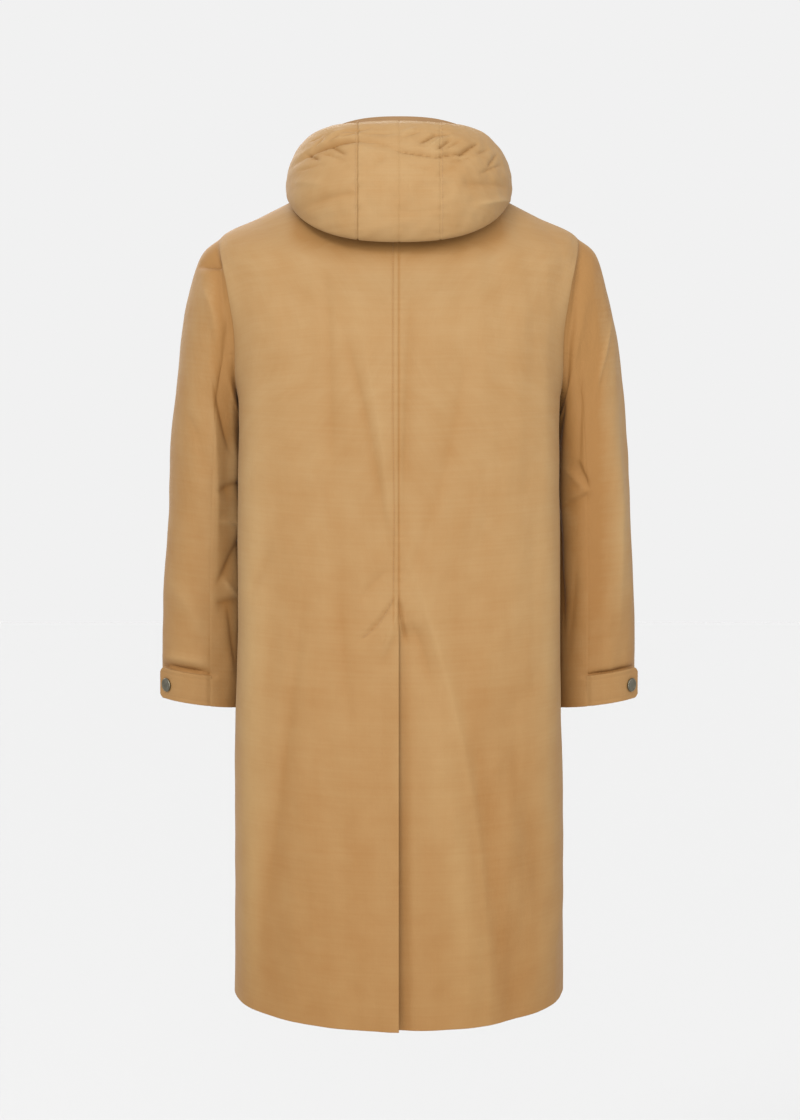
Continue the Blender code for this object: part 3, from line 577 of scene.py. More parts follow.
def ring_point(rings, row, angle):
    """A point of a garment ring on the wearer's left, at 90 degrees in the centre back and -90 in front."""
    size = ring_size(rings, row)
    at_back = np.sin(angle) >= 0
    depth = np.where(at_back, size["back_depth"], size["front_depth"])
    end_z = np.where(at_back, size["back_z"], size["front_z"])
    power = size["squareness"]
    across = (np.abs(np.cos(angle)) / size["half_width"]) ** power
    along = (np.abs(np.sin(angle)) / depth) ** power
    reach = (across + along) ** (-1.0 / power)
    share = np.abs(reach * np.sin(angle)) / depth
    tilt = (np.hypot(share, TILT_EASE) - TILT_EASE) / (math.hypot(1.0, TILT_EASE) - TILT_EASE)
    x = reach * np.cos(angle)
    y = size["width_y"] + reach * np.sin(angle)
    z = size["side_z"] + (end_z - size["side_z"]) * tilt
    return np.stack([x, y, z], axis=-1)


def angle_at_x(rings, row, x, face):
    """The angle at which a ring passes x on its back (face 1) or its front (face -1)."""
    size = ring_size(rings, row)
    depth = size["back_depth"] if face > 0 else size["front_depth"]
    power = size["squareness"]
    rise = depth * (1.0 - (np.abs(x) / size["half_width"]) ** power) ** (1.0 / power)
    return np.arctan2(face * rise, x)


def seam_angle(row):
    """The angle of the shoulder seam, the middle of the armhole and the side seam."""
    size = ring_size(COAT, row)
    offset = size["seam_y"] - size["width_y"]
    depth = np.where(offset >= 0, size["back_depth"], size["front_depth"])
    power = size["squareness"]
    x = size["half_width"] * (1.0 - (np.abs(offset) / depth) ** power) ** (1.0 / power)
    return np.arctan2(offset, x)


def armhole_row(turn):
    """The coat row that the armhole seam passes at a turn around the sleeve."""
    return SHOULDER_TIP_ROW + (UNDERARM_ROW - SHOULDER_TIP_ROW) * (1.0 - np.cos(turn)) / 2.0


def armhole_angle(turn):
    """The coat angle of the armhole seam: turn 0 is the shoulder tip, 90 degrees the back, 180 underneath."""
    reach = np.where(np.sin(turn) >= 0, ARMHOLE_BACK_REACH, ARMHOLE_FRONT_REACH)
    return seam_angle(armhole_row(turn)) + np.sin(turn) * reach


def coat_point(row, angle):
    """A point of the coat's body on the wearer's left."""
    return ring_point(COAT, row, angle)


def hood_point(row, angle):
    """A point of the folded hood on the wearer's left."""
    return ring_point(HOOD, row, angle)


def sleeve_point(row, turn):
    """A point of the left sleeve. Row 0 is the armhole seam and the last row the cuff."""
    rings = [coat_point(armhole_row(turn), armhole_angle(turn))]
    cos = np.cos(turn)
    for index in range(len(SLEEVE["outer_x"])):
        size = {name: values[index] for name, values in SLEEVE.items()}
        x = (size["outer_x"] + size["inner_x"]) / 2 + (size["outer_x"] - size["inner_x"]) / 2 * cos
        y = size["mid_y"] + size["half_depth"] * np.sin(turn)
        z = (size["outer_z"] + size["inner_z"]) / 2 + (size["outer_z"] - size["inner_z"]) / 2 * cos
        rings.append(np.stack([x, y, z], axis=-1))
    return smooth(np.stack(rings), np.asarray(row)[..., None])


def tab_point(row, travel):
    """A point under the cuff tab: around the sleeve to the end of its bend, then straight off it."""
    turn = np.maximum(TAB_START - travel, TAB_BEND_END)
    past = np.maximum(travel - (TAB_START - TAB_BEND_END), 0.0)
    bend_end = np.full_like(turn, TAB_BEND_END)
    ahead = sleeve_point(row, bend_end - NORMAL_STEP) - sleeve_point(row, bend_end + NORMAL_STEP)
    ahead = ahead / np.linalg.norm(ahead, axis=-1, keepdims=True)
    return sleeve_point(row, turn) + ahead * past[..., None]


def outward(surface, row, angle, sense):
    """Unit normals of a surface, turned out of the cloth by sense."""
    along_row = surface(row + NORMAL_STEP, angle) - surface(row - NORMAL_STEP, angle)
    along_angle = surface(row, angle + NORMAL_STEP) - surface(row, angle - NORMAL_STEP)
    normal = np.cross(along_angle, along_row) * sense
    return normal / np.linalg.norm(normal, axis=-1, keepdims=True)


def run_length(points, axis):
    """The length run along one axis of a grid of points, from 0 at its start."""
    step = np.linalg.norm(np.diff(points, axis=axis), axis=-1)
    total = np.cumsum(step, axis=axis)
    start = np.zeros_like(np.take(total, [0], axis=axis))
    return np.concatenate([start, total], axis=axis)


class Cloth:
    """A fine grid of points on one cloth piece, with how far each point is lifted off the plain form and its
    painted shading.
    """

    def __init__(self, surface, row, angle, side, sense):
        self.row = row
        self.flipped = (side == "right") != (sense > 0)
        hand = MIRROR if side == "right" else 1.0
        self.base = surface(row, angle) * hand
        self.normal = outward(surface, row, angle, sense) * hand
        self.lift = np.zeros(row.shape)
        self.painted_shading = np.zeros(row.shape)
        self.thick = np.full(row.shape, CLOTH)
        across = run_length(self.base, 1)
        along = run_length(self.base, 0)
        self.first = across
        self.last = across[:, -1:] - across
        self.top = along
        self.bottom = along[-1:] - along

    def crease(self, height):
        """Raise the cloth by a height of folds, and keep it as painted shading: painted shade in hollows,
        painted light on ridges.
        """
        self.lift += height
        self.painted_shading += height

    def outer(self, ride=0.0):
        """The points of the outside, raised by ride."""
        return self.base + self.normal * (self.lift + ride)[..., None]


def shares(length, step, first=(), last=()):
    """Even shares of a length, with closer ones at given distances from its first and last edge."""
    even = np.linspace(0.0, 1.0, max(int(round(length / step)), 2) + 1)
    low = max(first, default=0.0) / length + step / length / 3
    high = 1.0 - max(last, default=0.0) / length - step / length / 3
    even = even[(even > low) & (even < high)]
    near = np.array(first or (0.0,)) / length
    far = 1.0 - np.array(last or (0.0,)) / length
    return np.unique(np.concatenate([near, even, far]))


def between(first, last, share):
    """A grid whose rows run from a first to a last value at given shares."""
    return first[:, None] + (last - first)[:, None] * share


def edge_rows(share):
    """Rows of a body panel at its outer edge: the shoulder, even turns of the armhole, then the skirt."""
    corner = np.array([0.0, SHOULDER_SHARE, UNDERARM_SHARE, 1.0])
    shoulder = SHOULDER_TIP_ROW * share / corner[1]
    armhole = armhole_row(math.pi * (share - corner[1]) / (corner[2] - corner[1]))
    skirt = UNDERARM_ROW + (HEM_ROW - UNDERARM_ROW) * (share - corner[2]) / (1.0 - corner[2])
    return np.where(share < corner[1], shoulder, np.where(share < corner[2], armhole, skirt))


def centre_rows(share):
    """The same rows at the centre line, where they fan out from the corners of the armhole."""
    rows = (0.0, SHOULDER_TIP_ROW - CENTRE_SPREAD, UNDERARM_ROW + CENTRE_SPREAD, HEM_ROW)
    return np.interp(share, (0.0, SHOULDER_SHARE, UNDERARM_SHARE, 1.0), rows)


def coat_edge(rows, face):
    """The outer edge of a back (face 1) or front (face -1) panel: shoulder seam, armhole, then side seam."""
    share = np.clip((rows - SHOULDER_TIP_ROW) / (UNDERARM_ROW - SHOULDER_TIP_ROW), 0.0, 1.0)
    turn = np.arccos(1.0 - 2.0 * share)
    reach = ARMHOLE_BACK_REACH if face > 0 else ARMHOLE_FRONT_REACH
    return seam_angle(rows) + face * np.sin(turn) * reach


def fold_height(points, folds):
    """How far a table of folds raises the cloth at points, by their x and z."""
    height = np.zeros(points.shape[:-1])
    for row in folds:
        fold = {**PLAIN_FOLD, **dict(zip(FOLD_COLUMNS, row))}
        start = np.array([fold["start_x"], fold["start_z"]])
        run = np.array([fold["end_x"], fold["end_z"]]) - start
        from_start = points[..., [0, 2]] - start
        along = (from_start @ run) / (run @ run)
        across = (from_start[..., 0] * run[1] - from_start[..., 1] * run[0]) / np.linalg.norm(run)
        across = across - 4.0 * fold["bow"] * along * (1.0 - along)
        width = fold["width"] * np.where(across > 0, fold["soft"], 1.0)
        taper = ease(0.5 + along / FOLD_FADE) * ease(0.5 + (1.0 - along) / FOLD_FADE)
        if fold["width"] < CREASE_WIDTH:
            form = np.exp(-CREASE_FALL * (np.hypot(across / width, CREASE_ROUND) - CREASE_ROUND))
        else:
            form = soft_line(across, width)
        height += fold["depth"] * form * taper
    return height


def unrest(points, seed, size, height, stretch):
    """A gentle uneven waviness of about a given size, longer up and down by stretch."""
    draw = np.random.default_rng(seed)
    total = np.zeros(points.shape[:-1])
    x = points[..., 0] + WAVE_DEPTH_SHARE * points[..., 1]
    z = points[..., 2] / stretch
    for _ in range(WAVE_COUNT):
        heading = draw.uniform(0.0, 2.0 * math.pi)
        wave = 2.0 * math.pi / (size * draw.uniform(*WAVE_SPREAD))
        phase = draw.uniform(0.0, 2.0 * math.pi)
        total += np.sin(wave * (math.cos(heading) * x + math.sin(heading) * z) + phase)
    return total * height / math.sqrt(WAVE_COUNT)


def seam_dip(distance, depth=SEAM_DIP, soft=SEAM_SOFT):
    """How a seam pulls the cloth in at its edge."""
    return -depth * soft_line(distance, soft)


def allowance(distance, width):
    """How the turned seam allowance lifts the cloth between a seam and its stitching."""
    return ALLOWANCE_RISE * ease(distance / ALLOWANCE_START) * ease(0.5 + (width - distance) / ALLOWANCE_END)


def stitch_dip(distance, at):
    """How a row of stitches pulls the cloth in."""
    return -STITCH_DIP * soft_line(distance - at, STITCH_SOFT)


def rolled_edge(distance):
    """How the outside rounds over at a free edge."""
    inside = np.clip(1.0 - distance / EDGE_RADIUS, 0.0, 1.0)
    return -EDGE_RADIUS * (1.0 - np.sqrt(1.0 - inside**2))


def hem_fold(cloth, depth):
    """How much thicker the cloth is where its hem is turned up."""
    return HEM_EXTRA * ease(0.5 + (depth - cloth.bottom) / HEM_STEP)


def gathers(along, distance, seed, pitch, reach, height):
    """Small uneven gathers along a stitched seam."""
    draw = np.random.default_rng(seed)
    total = np.zeros(np.shape(along))
    for _ in range(GATHER_COUNT):
        wave = 2.0 * math.pi / (pitch * draw.uniform(*GATHER_SPREAD))
        total += np.sin(wave * along + draw.uniform(0.0, 2.0 * math.pi))
    return height / 2.0 * total * soft_line(distance, reach)


def cloth_mesh(name, cloth, kept=None):
    """A thin closed shell on the kept cells of a cloth grid, with its flat lengths as UV and its painted
    shading.
    """
    rows, columns = cloth.row.shape
    outer = cloth.outer()
    inner = outer - cloth.normal * cloth.thick[..., None]
    if kept is None:
        kept = np.ones((rows - 1, columns - 1), bool)
    number = np.arange(rows * columns).reshape(rows, columns)
    corner = (number[:-1, :-1], number[:-1, 1:], number[1:, 1:], number[1:, :-1])
    quads = np.stack([c[kept] for c in corner], axis=1)
    faces = [quads[:, ::-1], quads + rows * columns]
    framed = np.pad(kept, 1)
    beside = (framed[:-2, 1:-1], framed[1:-1, 2:], framed[2:, 1:-1], framed[1:-1, :-2])
    for index in range(4):
        rim = kept & ~beside[index]
        first = corner[index][rim]
        second = corner[(index + 1) % 4][rim]
        faces.append(np.stack([first, second, second + rows * columns, first + rows * columns], axis=1))
    faces = np.concatenate(faces)
    if cloth.flipped:
        faces = faces[:, ::-1]
    used, faces = np.unique(faces, return_inverse=True)
    faces = faces.reshape(-1, 4)
    points = np.concatenate([outer.reshape(-1, 3), inner.reshape(-1, 3)])[used]
    flat = np.stack([cloth.first, -cloth.bottom], axis=-1).reshape(-1, 2)
    flat = np.concatenate([flat, flat])[used]
    # Painted shading of folds, seams and hollows, kept on the mesh for the cloth's tone
    painted_relief = np.tile(cloth.painted_shading.reshape(-1), 2)[used]
    mesh = bpy.data.meshes.new(name)
    mesh.from_pydata(points.tolist(), [], faces.tolist())
    layer = mesh.uv_layers.new(name="cloth")
    layer.uv.foreach_set("vector", flat[faces.reshape(-1)].astype(np.float32).reshape(-1))
    attribute = mesh.attributes.new("painted_relief", "FLOAT", "POINT")
    attribute.data.foreach_set("value", painted_relief.astype(np.float32))
    mesh.shade_smooth()
    mesh.set_sharp_from_angle(angle=SHARP_ANGLE)
    return mesh


def add_piece(name, mesh, finish, nodes):
    """A piece of the parka that rides on its one body and stands for some of its solids."""
    mesh.materials.clear()
    mesh.materials.append(finish)
    piece = bpy.data.objects.new(name, mesh)
    bpy.context.scene.collection.objects.link(piece)
    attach(piece, "root")
    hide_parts(*nodes)
    return piece


def add_cloth(name, side, cloth, finish, kept=None):
    """A cloth piece from its grid, which stands for its solids."""
    title = f"cloth_{name}_{side}"
    nodes = [f"{solid}_{side}" for solid in SPLIT_SOLIDS.get(name, (name,))]
    piece = add_piece(title, cloth_mesh(title, cloth, kept), finish, nodes)


def line_across(points, distance, wanted):
    """The line through the rows of a grid of points at a distance from an edge beside the columns."""
    line = []
    for row, run in zip(points, distance):
        order = np.argsort(run)
        line.append([np.interp(wanted, run[order], row[order, k]) for k in range(3)])
    return np.array(line)


def line_on(cloth, base, normal):
    """A line of points laid on the outside of a cloth piece."""
    tree = KDTree(cloth.lift.size)
    for index, point in enumerate(cloth.base.reshape(-1, 3)):
        tree.insert(point, index)
    tree.balance()
    flat_lift = cloth.lift.reshape(-1)
    line = []
    for point, up in zip(base, normal):
        near = tree.find_n(point, POINTS_AROUND)
        weight = np.array([1.0 / (found[2] + LEAST_DISTANCE) for found in near])
        lift = sum(w * flat_lift[found[1]] for w, found in zip(weight, near)) / weight.sum()
        line.append(point + up * (lift + THREAD_RIDE))
    return np.array(line)


# Finishes


def node_adder(tree):
    """A short form for adding a node to a tree, with its inputs set or linked and its settings."""

    def add(kind, inputs=None, **settings):
        node = tree.nodes.new(kind)
        for key, value in settings.items():
            setattr(node, key, value)
        for key, value in (inputs or {}).items():
            if isinstance(value, bpy.types.NodeSocket):
                tree.links.new(value, node.inputs[key])
            else:
                node.inputs[key].default_value = value
        return node

    return add


def new_finish(name):
    """A new material with its shader, and short forms for adding and linking its nodes."""
    material = bpy.data.materials.new(name)
    material.use_nodes = True
    tree = material.node_tree
    return material, tree.nodes["Principled BSDF"], node_adder(tree), tree.links.new


def noise(add, vector, scale, detail):
    """Uneven grain on a pattern's coordinates."""
    return add("ShaderNodeTexNoise", {"Vector": vector, "Scale": scale, "Detail": detail}).outputs["Fac"]


def stretched(add, vector, across, along):
    """Coordinates with one scale across the cloth and another along it."""
    return add("ShaderNodeMapping", {"Vector": vector, "Scale": (across, along, 1.0)}).outputs["Vector"]


def added(add, value, weight, rest):
    """A value times its weight, added to the rest."""
    return add("ShaderNodeMath", {0: value, 1: weight, 2: rest}, operation="MULTIPLY_ADD").outputs[0]


def mixed(add, factor, first, second):
    """A colour between two, by a factor."""
    mix = add("ShaderNodeMix", {"Factor": factor}, data_type="RGBA")
    mix.inputs[6].default_value = (*first, 1.0)
    mix.inputs[7].default_value = (*second, 1.0)
    return mix.outputs[2]


def spread(add, value, low, high, to_low=0.0, to_high=1.0):
    """A value's range from low to high, spread over another range."""
    limits = {"From Min": low, "From Max": high, "To Min": to_low, "To Max": to_high}
    return add("ShaderNodeMapRange", {"Value": value, **limits}).outputs["Result"]


def cotton(name, tones, roughness):
    """Fine tan cotton in a plain weave of uneven yarn, with painted shade in its hollows and painted light
    towards the hood.
    """
    material, shader, add, link = new_finish(name)
    flat = add("ShaderNodeUVMap", uv_map="cloth").outputs["UV"]
    warp_slub = noise(add, stretched(add, flat, *WARP_SLUB), 1.0, 2.0)
    weft_slub = noise(add, stretched(add, flat, *WEFT_SLUB), 1.0, 2.0)
    slub = add("ShaderNodeMath", {0: warp_slub, 1: weft_slub}, operation="ADD").outputs[0]
    # The tone sums the cloth's random grain and the painted shading: painted shade in hollows, painted light
    # on ridges
    grain = {
        "slub": slub,
        "weft lines": noise(add, stretched(add, flat, *WEFT_LINES), 1.0, 2.0),
        "drape": noise(add, stretched(add, flat, *DRAPE), 1.0, 3.0),
        "mottle": noise(add, flat, MOTTLE, 4.0),
        "painted_relief": add("ShaderNodeAttribute", attribute_name="painted_relief").outputs["Fac"],
    }
    tone = 0.0
    for part, value in grain.items():
        tone = added(add, value, TONE_WEIGHTS[part], tone)
    # Painted light and shade by height: paler and cooler towards the hood, deeper towards the hem
    place = add("ShaderNodeTexCoord").outputs["Object"]
    height = add("ShaderNodeSeparateXYZ", {"Vector": place}).outputs["Z"]
    colour = add("ShaderNodeMix", {"Factor": 1.0}, data_type="RGBA", blend_type="MULTIPLY")
    link(mixed(add, spread(add, tone, *TONE_RANGE), *tones), colour.inputs[6])
    link(mixed(add, spread(add, height, *LIGHT_FALLOFF_HEIGHTS), HEM_PAINTED_SHADE, HOOD_PAINTED_LIGHT), colour.inputs[7])
    link(colour.outputs[2], shader.inputs["Base Color"])
    yarns = []
    for direction, count in (("X", WARP_YARNS), ("Y", WEFT_YARNS)):
        wave = add("ShaderNodeTexWave", {"Vector": flat, "Scale": count}, bands_direction=direction)
        yarns.append(wave.outputs["Fac"])
    weave = add("ShaderNodeMath", {0: yarns[0], 1: yarns[1]}, operation="MAXIMUM").outputs[0]
    yarn = add("ShaderNodeBump", {"Height": added(add, slub, YARN_SLUB, weave), **YARN_BUMP})
    crumple = noise(add, flat, CRUMPLE, 4.0)
    bump = add("ShaderNodeBump", {"Height": crumple, "Normal": yarn.outputs["Normal"], **CRUMPLE_BUMP})
    link(bump.outputs["Normal"], shader.inputs["Normal"])
    rough = spread(add, slub, *SLUB_RANGE, roughness - ROUGHNESS_SPREAD, roughness + ROUGHNESS_SPREAD)
    link(rough, shader.inputs["Roughness"])
    for label, value in COTTON_SHEEN.items():
        shader.inputs[label].default_value = value
    return material


def thread_finish():
    """Matching sewing thread, a little darker than the cloth."""
    material, shader, add, link = new_finish("tan thread")
    twist = noise(add, add("ShaderNodeTexCoord").outputs["Object"], THREAD_TWIST, 1.0)
    link(mixed(add, twist, *THREAD_TONES), shader.inputs["Base Color"])
    shader.inputs["Roughness"].default_value = THREAD_ROUGHNESS
    return material


def gunmetal_finish():
    """Dark plated metal with fine turned marks and rubbed patches."""
    material, shader, add, link = new_finish("gunmetal")
    place = add("ShaderNodeTexCoord").outputs["Object"]
    grain = noise(add, place, METAL_GRAIN, 3.0)
    rubbed = noise(add, place, METAL_RUBBED, 2.0)
    link(mixed(add, rubbed, *METAL_TONES), shader.inputs["Base Color"])
    link(spread(add, grain, 0.0, 1.0, *METAL_ROUGHNESS), shader.inputs["Roughness"])
    bump = add("ShaderNodeBump", {"Height": grain, **METAL_BUMP})
    link(bump.outputs["Normal"], shader.inputs["Normal"])
    shader.inputs["Metallic"].default_value = 1.0
    return material


SHELL = cotton("tan cotton", SHELL_TONES, SHELL_ROUGHNESS)
FACING = cotton("brown cotton facing", FACING_TONES, FACING_ROUGHNESS)
THREAD = thread_finish()
GUNMETAL = gunmetal_finish()


# Sewing


def stitch_tree():
    """Geometry nodes that set even stitches along seam lines, and the name of their seed."""
    tree = bpy.data.node_groups.new("stitches along seams", "GeometryNodeTree")
    tree.is_modifier = True
    tree.interface.new_socket("Seam lines", in_out="INPUT", socket_type="NodeSocketGeometry")
    lengths = {"Stitch pitch": STITCH_PITCH, "Stitch length": STITCH_LENGTH, "Thread radius": THREAD_RADIUS}
    for label, value in lengths.items():
        socket = tree.interface.new_socket(label, in_out="INPUT", socket_type="NodeSocketFloat")
        socket.default_value = value
    seed = tree.interface.new_socket("Seed", in_out="INPUT", socket_type="NodeSocketInt")
    tree.interface.new_socket("Stitches", in_out="OUTPUT", socket_type="NodeSocketGeometry")
    add = node_adder(tree)
    given = add("NodeGroupInput").outputs
    curve = add("GeometryNodeMeshToCurve", {"Mesh": given["Seam lines"]}).outputs["Curve"]
    even = add("GeometryNodeResampleCurve", {"Curve": curve, "Length": given["Stitch pitch"]}, mode="LENGTH")
    ball = add("GeometryNodeMeshUVSphere", {"Segments": STITCH_SIDES, "Rings": STITCH_RINGS, "Radius": 0.5})
    width = add("ShaderNodeMath", {0: given["Thread radius"], 1: 2.0}, operation="MULTIPLY").outputs[0]
    size = add("ShaderNodeCombineXYZ", {"X": given["Stitch length"], "Y": width, "Z": width}).outputs[0]
    tangent = add("GeometryNodeInputTangent").outputs[0]
    turn = add("FunctionNodeAlignRotationToVector", {"Vector": tangent}, axis="X")
    low, high = STITCH_UNEVEN
    uneven = add("FunctionNodeRandomValue", {2: low, 3: high, "Seed": given["Seed"]}, data_type="FLOAT")
    scale = add("ShaderNodeVectorMath", {0: size, "Scale": uneven.outputs[1]}, operation="SCALE")
    place = add("GeometryNodeInstanceOnPoints", {
        "Points": even.outputs["Curve"],
        "Instance": ball.outputs["Mesh"],
        "Rotation": turn.outputs["Rotation"],
        "Scale": scale.outputs[0],
    })
    real = add("GeometryNodeRealizeInstances", {"Geometry": place.outputs["Instances"]})
    finish = add("GeometryNodeSetMaterial", {"Geometry": real.outputs["Geometry"], "Material": THREAD})
    add("NodeGroupOutput", {"Stitches": finish.outputs["Geometry"]})
    return tree, seed.identifier


STITCH_TREE, STITCH_SEED_INPUT = stitch_tree()


def sew(name, lines, seed):
    """Rows of stitches along lines of points."""
    points = np.concatenate(lines)
    edges = []
    start = 0
    for line in lines:
        edges += [(start + k, start + k + 1) for k in range(len(line) - 1)]
        start += len(line)
    guide = bpy.data.meshes.new(name + "_guide")
    guide.from_pydata(points.tolist(), edges, [])
    holder = bpy.data.objects.new(name + "_guide", guide)
    bpy.context.scene.collection.objects.link(holder)
    modifier = holder.modifiers.new("stitches", "NODES")
    modifier.node_group = STITCH_TREE
    modifier[STITCH_SEED_INPUT] = seed
    bpy.context.view_layer.update()
    evaluated = holder.evaluated_get(bpy.context.evaluated_depsgraph_get())
    mesh = bpy.data.meshes.new_from_object(evaluated)
    mesh.name = name
    bpy.data.objects.remove(holder)
    bpy.data.meshes.remove(guide)
    mesh.shade_smooth()
    add_piece(name, mesh, THREAD, ())


# Body of the coat


def row_at_z(z):
    """The coat row at a height of the centre back."""
    rows = np.linspace(0.0, HEM_ROW, ROWS_SEARCHED)
    return np.interp(-np.asarray(z), -smooth(COAT["back_z"], rows), rows)


def body_lift(cloth, folds, seeds, outer_edge):
    """Folds and gentle waviness of a body panel, fading out towards its outer seams and its neck."""
    calm = ease(outer_edge / CALM_BESIDE_SEAM) * ease(cloth.top / CALM_BELOW_NECK)
    cloth.crease(fold_height(cloth.base, folds) * calm)
    cloth.lift += unrest(cloth.base, seeds[0], *BODY_WAVES) * calm
    cloth.lift += unrest(cloth.base, seeds[1], *BODY_RIPPLES) * calm
    cloth.lift += rolled_edge(cloth.bottom)
    cloth.thick += hem_fold(cloth, HEM_DEPTH)
    below_tip = ease((cloth.row - SHOULDER_TIP_ROW - ARMHOLE_BELOW_TIP_ROWS) / ARMHOLE_FADE_ROWS)
    beside_arm = below_tip * ease((UNDERARM_ROW - cloth.row) / ARMHOLE_FADE_ROWS)
    cloth.lift += seam_dip(cloth.top) + seam_dip(outer_edge, BODY_SEAM_DIP) * (1.0 - beside_arm)
    rise = ARMHOLE_RISE * beside_arm * ease(outer_edge / ARMHOLE_RISE_START)
    cloth.lift += rise * soft_line(outer_edge, ARMHOLE_RISE_WIDTH)


def lift_under_hood(cloth):
    """The rise of the back that holds the hood off, and the painted shadow below the hood's edge."""
    x = cloth.base[..., 0]
    z = cloth.base[..., 2]
    rise = HOOD_REST_RISE * soft_line(z - HOOD_REST_Z, HOOD_REST_HEIGHT)
    cloth.lift += rise * soft_line(x, HOOD_REST_WIDTH)
    # Painted shadow on the back below the hood's edge, fading downwards and towards the sides
    below_hood = HOOD_EDGE_CURVE * x**2 + HOOD_EDGE_Z - z
    beside = ease((HOOD_SHADE_END - np.abs(x)) / HOOD_SHADE_FADE)
    cloth.painted_shading -= HOOD_SHADE * ease(1.0 - below_hood / HOOD_SHADE_HEIGHT) * beside


def shape_centre_back(cloth, side, to_centre):
    """The centre back seam, and the vent below it with the left half over the right."""
    below = ease((cloth.row - VENT_TOP_ROW) / VENT_EASE_ROWS)
    deeper = ease((cloth.row - VENT_TOP_ROW) / VENT_DEEP_ROWS)
    seamed = 1.0 - below
    near = np.abs(to_centre)
    if side == "right":
        cloth.lift -= VENT_DIP * below * ease(1.0 - to_centre / VENT_DIP_WIDTH)
        recess = VENT_RECESS[0] + VENT_RECESS[1] * deeper
        cloth.lift -= recess * below * ease(1.0 - to_centre / VENT_RECESS_WIDTH)
        # Painted shade on the underlap beside the vent's edge
        shade = VENT_SHADE[0] + VENT_SHADE[1] * deeper
        cloth.painted_shading -= shade * below * ease((VENT_SHADE_END - to_centre) / VENT_SHADE_FADE)
        cloth.lift += rolled_edge(cloth.last) * below
        cloth.lift += seam_dip(near) * seamed
    else:
        cloth.lift += (seam_dip(near) + allowance(near, SEAM_TO_STITCH)) * seamed
        cloth.lift += rolled_edge(near) * below
        flare = ease((cloth.row - VENT_FLARE_ROW) / VENT_FLARE_ROWS)
        rise = VENT_EDGE_RISE[0] * below + VENT_EDGE_RISE[1] * deeper + VENT_FLARE * flare
        cloth.lift += rise * ease(1.0 - near / VENT_EDGE_WIDTH)
        cloth.lift += stitch_dip(near, SEAM_TO_STITCH) * seamed
        # Painted shade along the row of stitching
        cloth.painted_shading -= STITCH_SHADE * soft_line(near - SEAM_TO_STITCH, STITCH_SOFT) * seamed
    cloth.lift += gathers(cloth.top, near, *BACK_GATHERS) * seamed
    # Painted shade along the centre seam
    cloth.painted_shading -= SEAM_SHADE * soft_line(near, SEAM_SOFT) * seamed


def sew_back(cloth, rows, near):
    """Stitches beside the centre back seam and along the slant at the top of the vent."""
    seam_line = line_across(cloth.outer(THREAD_RIDE), near, SEAM_TO_STITCH)
    seam_line = seam_line[rows < VENT_TOP_ROW - SEAM_STITCH_END_ROWS]
    x, z = np.array(VENT_STITCH).T
    fine = np.linspace(0.0, len(x) - 1.0, VENT_STITCH_POINTS)
    row = row_at_z(smooth(z, fine))
    angle = angle_at_x(COAT, row, smooth(x, fine), 1)
    slant = line_on(cloth, coat_point(row, angle), outward(coat_point, row, angle, -1))
    sew("stitching_back_seam", [seam_line[2:], slant], STITCH_SEEDS["back"])


def back_piece(side):
    """One half of the back with the centre seam, the vent and its stitching."""
    width, length = BACK_SIZE
    share = shares(length, BACK_STEP, SEAM_SAMPLES[:5], EDGE_SAMPLES)
    rows = centre_rows(share)
    centre = angle_at_x(COAT, rows, 0.0, 1)
    over = shares(width, BACK_STEP, SEAM_SAMPLES[:6], SEAM_SAMPLES)
    angle = between(coat_edge(edge_rows(share), 1), centre, over)
    row = between(edge_rows(share), rows, over)
    seam = len(over) - 1
    if side == "right":
        lap = shares(VENT_UNDERLAP, BACK_STEP, (), EDGE_SAMPLES)
        past_centre = between(centre, angle_at_x(COAT, rows, -VENT_UNDERLAP, 1), lap)
        angle = np.concatenate([angle, past_centre[:, 1:]], axis=1)
        row = np.concatenate([row, between(rows, rows, lap)[:, 1:]], axis=1)
    cloth = Cloth(coat_point, row, angle, side, -1)
    kept = np.ones((row.shape[0] - 1, row.shape[1] - 1), bool)
    kept[:, seam:] = (rows[:-1] > VENT_TOP_ROW + VENT_EASE_ROWS)[:, None]
    body_lift(cloth, BACK_FOLDS, BACK_SEEDS, cloth.first)
    lift_under_hood(cloth)
    to_centre = cloth.first[:, seam:seam + 1] - cloth.first
    shape_centre_back(cloth, side, to_centre)
    add_cloth("back", side, cloth, SHELL, kept)
    if side == "left":
        sew_back(cloth, rows, np.abs(to_centre))


def front_piece(side):
    """One front, lapped at the fly."""
    width, length = FRONT_SIZE
    lap = FRONT_OVERLAP if side == "left" else FRONT_UNDERLAP
    share = shares(length, FRONT_STEP, SEAM_SAMPLES[:5], EDGE_SAMPLES)
    rows = centre_rows(share)
    over = shares(width, FRONT_STEP, EDGE_SAMPLES, SEAM_SAMPLES[:6])
    angle = between(angle_at_x(COAT, rows, -lap, -1), coat_edge(edge_rows(share), -1), over)
    row = between(rows, edge_rows(share), over)
    cloth = Cloth(coat_point, row, angle, side, -1)
    body_lift(cloth, FRONT_FOLDS, FRONT_SEEDS, cloth.last)
    # The fronts' painted fold shading, weaker than on the back
    cloth.painted_shading *= FRONT_FOLD_SHADING
    cloth.lift += rolled_edge(cloth.first)
    own_x = np.abs(cloth.base[..., 0]) * np.sign(np.cos(angle))
    if side == "right":
        cloth.lift -= FRONT_DIP * ease(1.0 - (own_x - FRONT_OVERLAP) / FRONT_DIP_WIDTH)
    else:
        cloth.lift += stitch_dip(cloth.first, FLY_STITCH)
    add_cloth("front", side, cloth, SHELL)
    if side == "left":
        fly_line = line_across(cloth.outer(THREAD_RIDE), cloth.first, FLY_STITCH)
        sew("stitching_fly", [fly_line[4:-4]], STITCH_SEEDS["fly"])


# Sleeves


